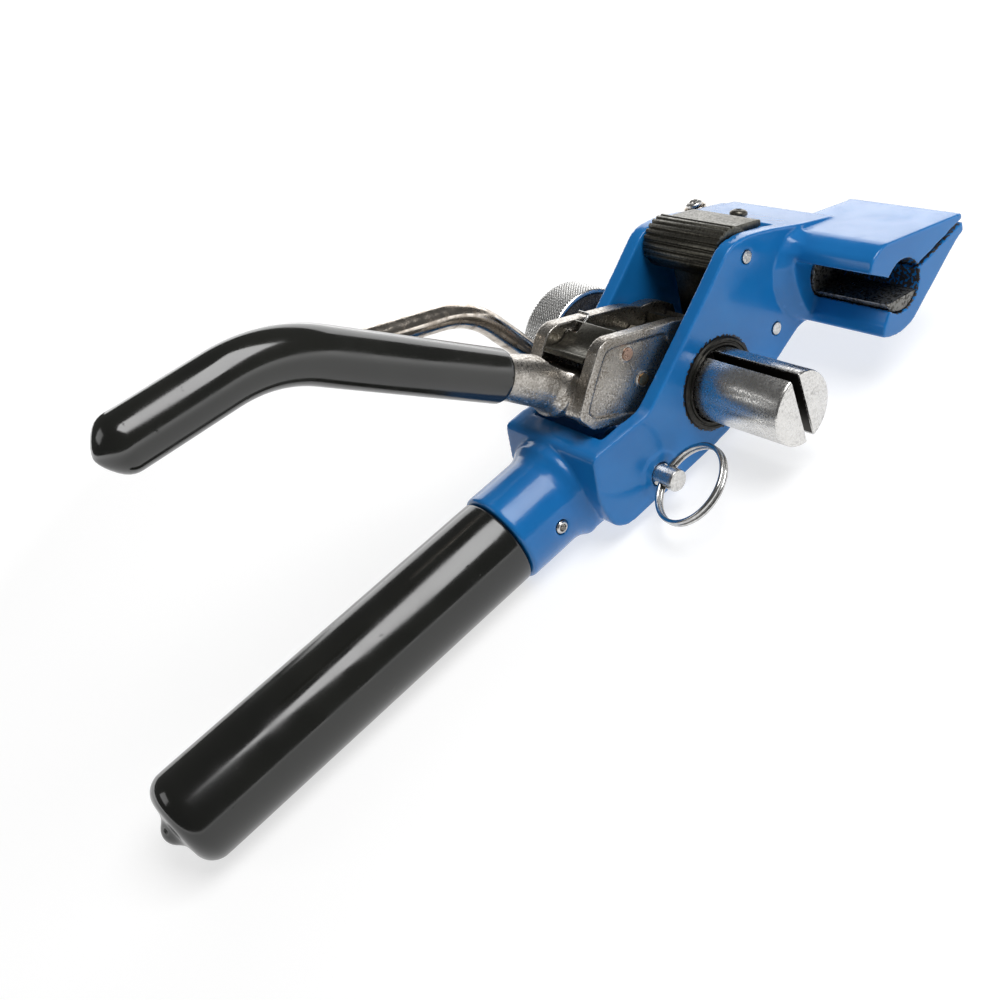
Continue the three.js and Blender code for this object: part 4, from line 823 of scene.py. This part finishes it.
grip_line = bent([lever_neck + leg_one * LEVER_BARE, lever_corner, lever_end + leg_two * 2], 15, 20)
R = LEVER_GRIP_R
lead_in = [(0.0, 5.9), (0.04, R - 1.1), (0.15, R - 0.6), (0.45, R - 0.25), (1.0, R - 0.03), (1.8, R)]
lead_out = [(-2.6, R), (-1.7, R * 0.99), (-0.7, R * 0.96), (0.4, R * 0.9), (1.5, R * 0.8), (2.6, R * 0.66),
            (3.6, R * 0.5), (4.4, R * 0.35), (5.0, R * 0.2), (5.35, R * 0.07)]
lever_grip = made("lever_grip_dipped", swept(*nosed(grip_line, R, lead_in, lead_out), 72))
shade(lever_grip, 50)
part_done(lever_grip, vinyl, "black_vinyl", "lever", "lever_grip")
carried("lever_rod", bare_steel, 0)
copper = plated("copper_pin", (0.62, 0.42, 0.33, 1), (0.38, 0.26, 0.2, 1), (0.25, 0.4))
carried("drive_pawl_pin", copper, 0.35)
carried("lever_head_pin", bronze, 0.35)

coil_left = HEAD_IN_LEFT - 0.5
coil_radius = PIN_R + 0.85
coil = [
    Vector((DRIVE_PIN[0] + coil_radius * math.cos(0.7 - a), coil_left - 3.4 + 2.9 * a / (5 * math.pi),
            DRIVE_PIN[1] + coil_radius * math.sin(0.7 - a)))
    for a in (5 * math.pi * i / 70 for i in range(71))
]
leg_high = DRIVE_PIN[1] + PIN_R + 3.3
leg = bent([(DRIVE_PIN[0] + 1, coil_left - 1.2, DRIVE_PIN[1] + PIN_R + 0.7),
            (DRIVE_PIN[0] + 6.5, coil_left - 1.2, leg_high),
            (DRIVE_PIN[0] + 6.5, coil_left + 3.6, leg_high)], 1.4, 6)
spring = made("drive_pawl_spring_wire", swept(coil, 0.5, 12), swept(leg, 0.5, 12))
shade(spring, 60)
part_done(spring, bright, "bright_steel", "lever", "drive_pawl_spring")

# ------------------------------------------------------------------------------------------- the two pawls
# The drive pawl is a bent, blackened plate with a rolled thumb lip. The holding pawl is a serrated barrel
# on the cheek pin, with a flat thumb tongue in front and a tail that drops into the wheel.
pawl_black = plated("pawl_black", (0.14, 0.134, 0.112, 1), (0.06, 0.057, 0.048, 1), (0.3, 0.46), 1300, 0.015)
PAWL_RIGHT, PAWL_LEFT, SPRING_WIDTH = HEAD_IN_RIGHT + 0.5, HEAD_IN_LEFT - 0.5, 4.2
px, pz = DRIVE_PIN
drive_side = [
    (px + 17.9, pz - 9.8), (px + 17, pz - 7.2), (px + 9, pz - 1.2, 2), (px + 4.2, pz + 3.4, 1.5),
    (px + 1.9, pz + 6.3, 0.5), (px - 0.6, pz + 5.9, 1.5), (px - 5, pz + 3.6, 2), (px - 8.6, pz + 3.8, 2),
    (px - 11.8, pz + 6, 0.9), (px - 13.6, pz + 4.8, 0.9), (px - 10, pz + 1.5, 2), (px - 5, pz + 0.7, 2),
    (px - 3.4, pz - 2.6, 2), (px + 1, pz - 3.8, 2), (px + 9, pz - 5.6, 2),
]
spring_room = [polar(6.3, 25, DRIVE_PIN), polar(6.3, 75, DRIVE_PIN), polar(8.5, 95, DRIVE_PIN)]
spring_room += [polar(r, a, DRIVE_PIN) for r, a in ((4.4, 130), (4.4, 180), (4.4, 225), (5, 270), (5, 320))]
drive_pawl = made("drive_pawl_plate", slab(drive_side, PAWL_RIGHT, PAWL_LEFT))
carve(drive_pawl, slab(spring_room, PAWL_LEFT - SPRING_WIDTH, PAWL_LEFT + 1),
      bar(PIN_R + 0.3, PAWL_RIGHT - 1, PAWL_LEFT + 1, DRIVE_PIN, 32))
soften(drive_pawl, 0.3, 3, 30)
settle(drive_pawl)
shade(drive_pawl, 30)
part_done(drive_pawl, pawl_black, "blackened_steel", "drive_pawl", "drive_pawl")

THUMB_R, RIDGE, RIDGES = 8.2, 0.75, 9
hold_right, hold_left = CHEEK_IN_RIGHT + 0.5, CHEEK_IN_LEFT - 0.5
barrel_outline = []
for i in range(RIDGES):
    a = 62 + i * 14
    for radius, turn in ((THUMB_R, 0), (THUMB_R + RIDGE, 3.2), (THUMB_R + RIDGE, 9.2), (THUMB_R, 12)):
        barrel_outline.append(polar(radius, a + turn, HOLD_PIN))
barrel_outline += [polar(THUMB_R, a, HOLD_PIN) for a in range(192, 420, 8)]
px, pz = HOLD_PIN
tongue = [(px - 1, pz + 5), (px + 2, pz + 7.6, 1), (px + 14.5, pz + 3, 1), (px + 17, pz + 1.9, 1),
          (px + 16.4, pz - 0.2, 0.8), (px + 13, pz + 0.5, 1), (px + 6.5, pz + 2.6, 1), (px + 5, pz)]
tail = [(px - 5.5, pz - 4), (px - 6.4, pz - 12), (px - 8.2, pz - 24), (px - 5.3, pz - 24.9),
        (px + 0.5, pz - 12),
        (px + 2.5, pz - 5)]
holding = made("holding_pawl_serrated", slab(barrel_outline, hold_right, hold_left))
tongue_blank = made("tongue_blank", slab(tongue, hold_right + 2.1, hold_left - 0.7),
                    slab(tail, PAWL_RIGHT + 1.4, PAWL_LEFT - 1.4))
join_step = holding.modifiers.new("tongue", "BOOLEAN")
join_step.object, join_step.operation, join_step.solver, join_step.use_self = (
    tongue_blank, "UNION", "EXACT", True
)
settle(holding)
bpy.data.objects.remove(tongue_blank)
carve(holding, bar(PIN_R + 0.3, hold_right - 1, hold_left + 1, HOLD_PIN, 32))
soften(holding, 0.22, 2, 28)
settle(holding)
shade(holding, 32)
part_done(holding, pawl_black, "blackened_steel", "holding_pawl", "holding_pawl")

# ------------------------------------------------------------------------------------- cutter bar and lever
# A half-moon bar through the nose: the strap passes over its flat and is sheared when it turns. Its left
# end is clamped in the hub of a bent, nickel-plated rod that serves as the cutting lever.
CUTTER_FLAT, CUTTER_TILT, NECK_R = -3.76, -14, 6
cutter_bar = made("cutter_bar_milled", turned(
    [(0, NOSE_END + 0.4), (CUTTER_R - 0.5, NOSE_END + 0.4), (CUTTER_R, NOSE_END + 0.9),
     (CUTTER_R, BOSS_FACE - 0.3),
     (NECK_R, BOSS_FACE - 0.3), (NECK_R, BOSS_FACE + 8.2), (NECK_R - 0.4, BOSS_FACE + 8.6),
     (0, BOSS_FACE + 8.6)],
    (CUTTER[0], 0, CUTTER[1])))
tilt = math.radians(CUTTER_TILT)
flat_corners = [
    (CUTTER[0] + x * math.cos(tilt) - z * math.sin(tilt), CUTTER[1] + x * math.sin(tilt) + z * math.cos(tilt))
    for x, z in ((-12, CUTTER_FLAT), (12, CUTTER_FLAT), (12, CUTTER_FLAT + 20), (-12, CUTTER_FLAT + 20))
]
carve(cutter_bar, slab(flat_corners, NOSE_END - 0.5, NOSE_END + STRAP_WIDTH - 0.5))
soften(cutter_bar, 0.3, 3, 40)
settle(cutter_bar)
shade(cutter_bar, 30)


def worn_cutter():
    """Blackened tool steel, worn bright in specks along the edges that the strap and the nose rub."""
    material, tree, shader = finish_nodes("worn_cutter", Metallic=0.9, Roughness=0.35)
    geometry = tree.nodes.new("ShaderNodeNewGeometry")
    edge = between(tree, geometry.outputs["Pointiness"], 0.5, 0.56, 0, 1)
    worn = sums(tree, "MULTIPLY", edge, grain(tree, 1100, 0.42, 0.52, 5))
    base = blend_colour(tree, grain(tree, 700), (0.028, 0.027, 0.024, 1), (0.075, 0.07, 0.06, 1))
    tree.links.new(blend_colour(tree, worn, base, (0.5, 0.5, 0.48, 1)), shader.inputs["Base Color"])
    tree.links.new(between(tree, grain(tree, 500), 0, 1, 0.25, 0.42), shader.inputs["Roughness"])
    relief(tree, shader, grain(tree, 1400), 0.03)
    return material


part_done(cutter_bar, worn_cutter(), "blackened_steel", "cutter", "cutter_bar")

ROD_Y, ROD_R = 26.9, 4
rod_line = bent([(-98, ROD_Y, 68), (-44.2, ROD_Y, 47.9), (-11.4, ROD_Y, -15), (13, ROD_Y, -14.6),
                 (CUTTER[0] - 4, ROD_Y, CUTTER[1] - 3)], 12, 18)
end_in = [(0.0, 1.6), (0.25, 2.9), (0.8, 3.6), (1.6, 3.92), (2.6, 4.0)]
cutter_lever = made(
    "cutter_lever_rod",
    swept(*nosed(rod_line, ROD_R, end_in, [(0, ROD_R)]), 40),
    bar(10, BOSS_FACE + 0.5, BOSS_FACE + 8.8, CUTTER, 80),
    turned([(0, -8.5), (4.4, -8.5), (4.1, 0), (3.9, 8.1), (3.5, 8.5), (0, 8.5)],
           (CUTTER[0] + 1.2, ROD_Y, CUTTER[1] + 8.4), (0, 0, 1)),
)
carve(
    cutter_lever,
    bar(NECK_R + 0.3, BOSS_FACE - 1, BOSS_FACE + 10, CUTTER),
    turned([(0, 4), (1.8, 4), (1.8, 18), (0, 18)], (CUTTER[0] + 1.2, ROD_Y, CUTTER[1] + 3), (0, 0, 1), 32),
)
cast_skin(cutter_lever, 0.4, 3)
rod_nickel = plated("nickel_rod", (0.60, 0.55, 0.49, 1), (0.30, 0.25, 0.20, 1), (0.13, 0.28), 420, 0.008)
part_done(cutter_lever, rod_nickel, "cast_nickel", "cutter", "cutter_lever")
screw_top = CUTTER[1] + 17.2
clamp_screw = made("cutter_clamp_screw_socket", turned(
    [(0, -8), (1.5, -8), (1.5, 0), (2.7, 0), (2.9, 0.2), (2.9, 0.8), (2.7, 1.1), (2.3, 1.3), (1.35, 1.3),
     (1.2, 0.5), (0, 0.4)], (CUTTER[0] + 1.2, ROD_Y, screw_top), (0, 0, 1), 48))
shade(clamp_screw)
part_done(clamp_screw, zinc, "zinc_plate", "cutter", "cutter_clamp_screw")

# ----------------------------------------------------------------------------- pull pin, spring, split ring
# A plated plunger through the right cheek locks the lever; a compression spring returns it, and a split
# ring of two turns of spring wire passes through its cross hole as the pull.
PULL_OUT, RING_HOLE, RING_LEAN, RING_R, WIRE_R = 8.1, 2.25, 26.8, 13.1, 0.76
pull_head, pull_eye, pull_tip = BODY_RIGHT - PULL_OUT, BODY_RIGHT - 2.6, CHEEK_IN_RIGHT + 18
lean = math.radians(RING_LEAN)
eye_way = Vector((math.cos(lean), 0, math.sin(lean)))
pin = made("pull_pin_plated", turned(
    [(0, pull_head), (PULL_R - 0.7, pull_head), (PULL_R - 0.2, pull_head + 0.2), (PULL_R, pull_head + 0.7),
     (PULL_R, pull_tip - 4), (PULL_R + 1.9, pull_tip - 4), (PULL_R + 1.9, pull_tip - 2.4),
     (PULL_R, pull_tip - 2.4),
     (PULL_R, pull_tip - 0.8), (PULL_R - 0.8, pull_tip), (0, pull_tip)],
    (PULL[0], 0, PULL[1]), (0, 1, 0), 96))
carve(pin, turned([(0, -10), (RING_HOLE, -10), (RING_HOLE, 10), (0, 10)], (PULL[0], pull_eye, PULL[1]),
                  eye_way, 48))
soften(pin, 0.2, 2, 40)
settle(pin)
shade(pin, 30)
part_done(pin, zinc, "zinc_plate", "pull_pin", "pull_pin")

spring_from = CHEEK_IN_RIGHT + 0.9
spring_rise = pull_tip - 4 - spring_from - 0.9
turns = 6
helix = [
    Vector((PULL[0] + (PULL_R + 1.15) * math.cos(2 * math.pi * i / 28),
            spring_from + spring_rise * i / (turns * 28),
            PULL[1] + (PULL_R + 1.15) * math.sin(2 * math.pi * i / 28)))
    for i in range(turns * 28 + 1)
]
pull_spring = made("pull_pin_spring_wire", swept(helix, 0.5, 12))
shade(pull_spring, 60)
part_done(pull_spring, bright, "bright_steel", "pull_pin", "pull_pin_spring")
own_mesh(pull_spring)

ring_out = Vector((-0.1, -0.972, 0.212))
ring_out = (ring_out - eye_way * ring_out.dot(eye_way)).normalized()
ring_face = eye_way.cross(ring_out)
ring_centre = Vector((PULL[0], pull_eye, PULL[1])) + ring_out * RING_R
open_at = math.pi
ring_line = []
for i in range(361):
    turn = 0.14 + (4 * math.pi - 0.28) * i / 360
    step = min(max((turn - 2 * math.pi + 0.13) / 0.26, 0), 1)
    side = (step * step * (3 - 2 * step) - 0.5) * (2 * WIRE_R + 0.1)
    a = turn + open_at
    ring_line.append(ring_centre + (ring_out * math.cos(a) + eye_way * math.sin(a)) * RING_R
                     + ring_face * side)
wire_in = [(0.0, 0.3), (0.1, 0.55), (0.35, WIRE_R)]
wire_out = [(-0.35, WIRE_R), (-0.1, 0.55), (0.0, 0.3)]
ring = made("split_ring_wire", swept(*nosed(ring_line, WIRE_R, wire_in, wire_out), 20))
shade(ring, 60)
ring_steel = plated("ring_steel", (0.60, 0.60, 0.59, 1), (0.42, 0.41, 0.4, 1), (0.15, 0.27), 600, 0.004)
part_done(ring, ring_steel, "zinc_plate", "split_ring", "split_ring")

# ------------------------------------------------------------------------------- table, lamps and the camera
# A sheet of white acrylic glowing as if lit from below, dimmer round the tool as painted shade, a soft box
# over it, a white card behind and a weak fill.


def area_lamp(name, at, aim, size, power, colour=(1, 1, 1)):
    lamp = bpy.data.lights.new(name, "AREA")
    lamp.shape, lamp.size, lamp.size_y, lamp.energy, lamp.color = "RECTANGLE", *size, power, colour
    thing = bpy.data.objects.new(name, lamp)
    bpy.context.scene.collection.objects.link(thing)
    thing.location = at
    thing.rotation_euler = (Vector(aim) - Vector(at)).to_track_quat("-Z", "Y").to_euler()
    return thing


table_mesh = bpy.data.meshes.new("table_sheet")
reach = 4.0
corners = [(-reach, -reach, 0), (reach, -reach, 0), (reach, reach, 0), (-reach, reach, 0)]
table_mesh.from_pydata(corners, [], [[0, 1, 2, 3]])
table_sheet = bpy.data.objects.new("table_sheet", table_mesh)
bpy.context.scene.collection.objects.link(table_sheet)
white, tree, shader = finish_nodes(
    "lit_acrylic", Roughness=0.6, Specular_IOR_Level=0.2, Emission_Color=(1, 1, 1, 1)
)
spot = tree.nodes.new("ShaderNodeTexCoord")
away = tree.nodes.new("ShaderNodeVectorMath")
away.operation = "LENGTH"
tree.links.new(spot.outputs["Object"], away.inputs[0])
# Painted shade: the glow is 0.68 within 0.25 m of the sheet's middle, under the tool, and rises to 1.9 at 0.9
# m.
tree.links.new(between(tree, away.outputs["Value"], 0.25, 0.9, 0.68, 1.9), shader.inputs["Emission Strength"])
sheet_tone = blend_colour(tree, grain(tree, 2), (0.40, 0.40, 0.40, 1), (0.42, 0.42, 0.42, 1))
tree.links.new(sheet_tone, shader.inputs["Base Color"])
table_mesh.materials.append(white)

middle = (cad_low + cad_high) / 2


def lamp_towards(name, way, distance, size, brightness):
    """A lamp of that brightness, seen from the tool in that direction."""
    power = brightness * math.pi * size[0] * size[1]
    area_lamp(name, middle + Vector(way).normalized() * distance, middle, size, power)


lamp_towards("soft_box_over", (0.30, -0.40, 0.86), 0.95, (0.62, 0.62), 7.2)
lamp_towards("white_card_behind", (0.66, 0.72, 0.20), 1.5, (2.2, 0.72), 2.35)
lamp_towards("fill_box_left", (-0.75, 0.5, 0.55), 1.3, (0.5, 0.5), 1.6)
room = bpy.data.worlds.new("studio_room")
room.use_nodes = True
room.node_tree.nodes["Background"].inputs["Color"].default_value = (1, 1, 1, 1)
room.node_tree.nodes["Background"].inputs["Strength"].default_value = 0.10
bpy.context.scene.world = room
bpy.context.scene.view_settings.view_transform = "Standard"

camera_data = bpy.data.cameras.new("camera")
camera_data.sensor_width = 36
camera_data.lens = 36 * 1.15444
camera_data.clip_start, camera_data.clip_end = 0.01, 20
camera = bpy.data.objects.new("camera", camera_data)
bpy.context.scene.collection.objects.link(camera)
right = Vector((0.70734822, -0.61219909, -0.35337058))
down = Vector((-0.62235111, -0.30233276, -0.72199308))
ahead = Vector((0.335168, 0.73062109, -0.59485732))
turn = Matrix((right, -down, -ahead)).transposed().to_4x4()
camera.matrix_world = Matrix.Translation(AXIS + Vector((-196.330, -262.531, 217.274)) / 1000) @ turn
bpy.context.scene.camera = camera
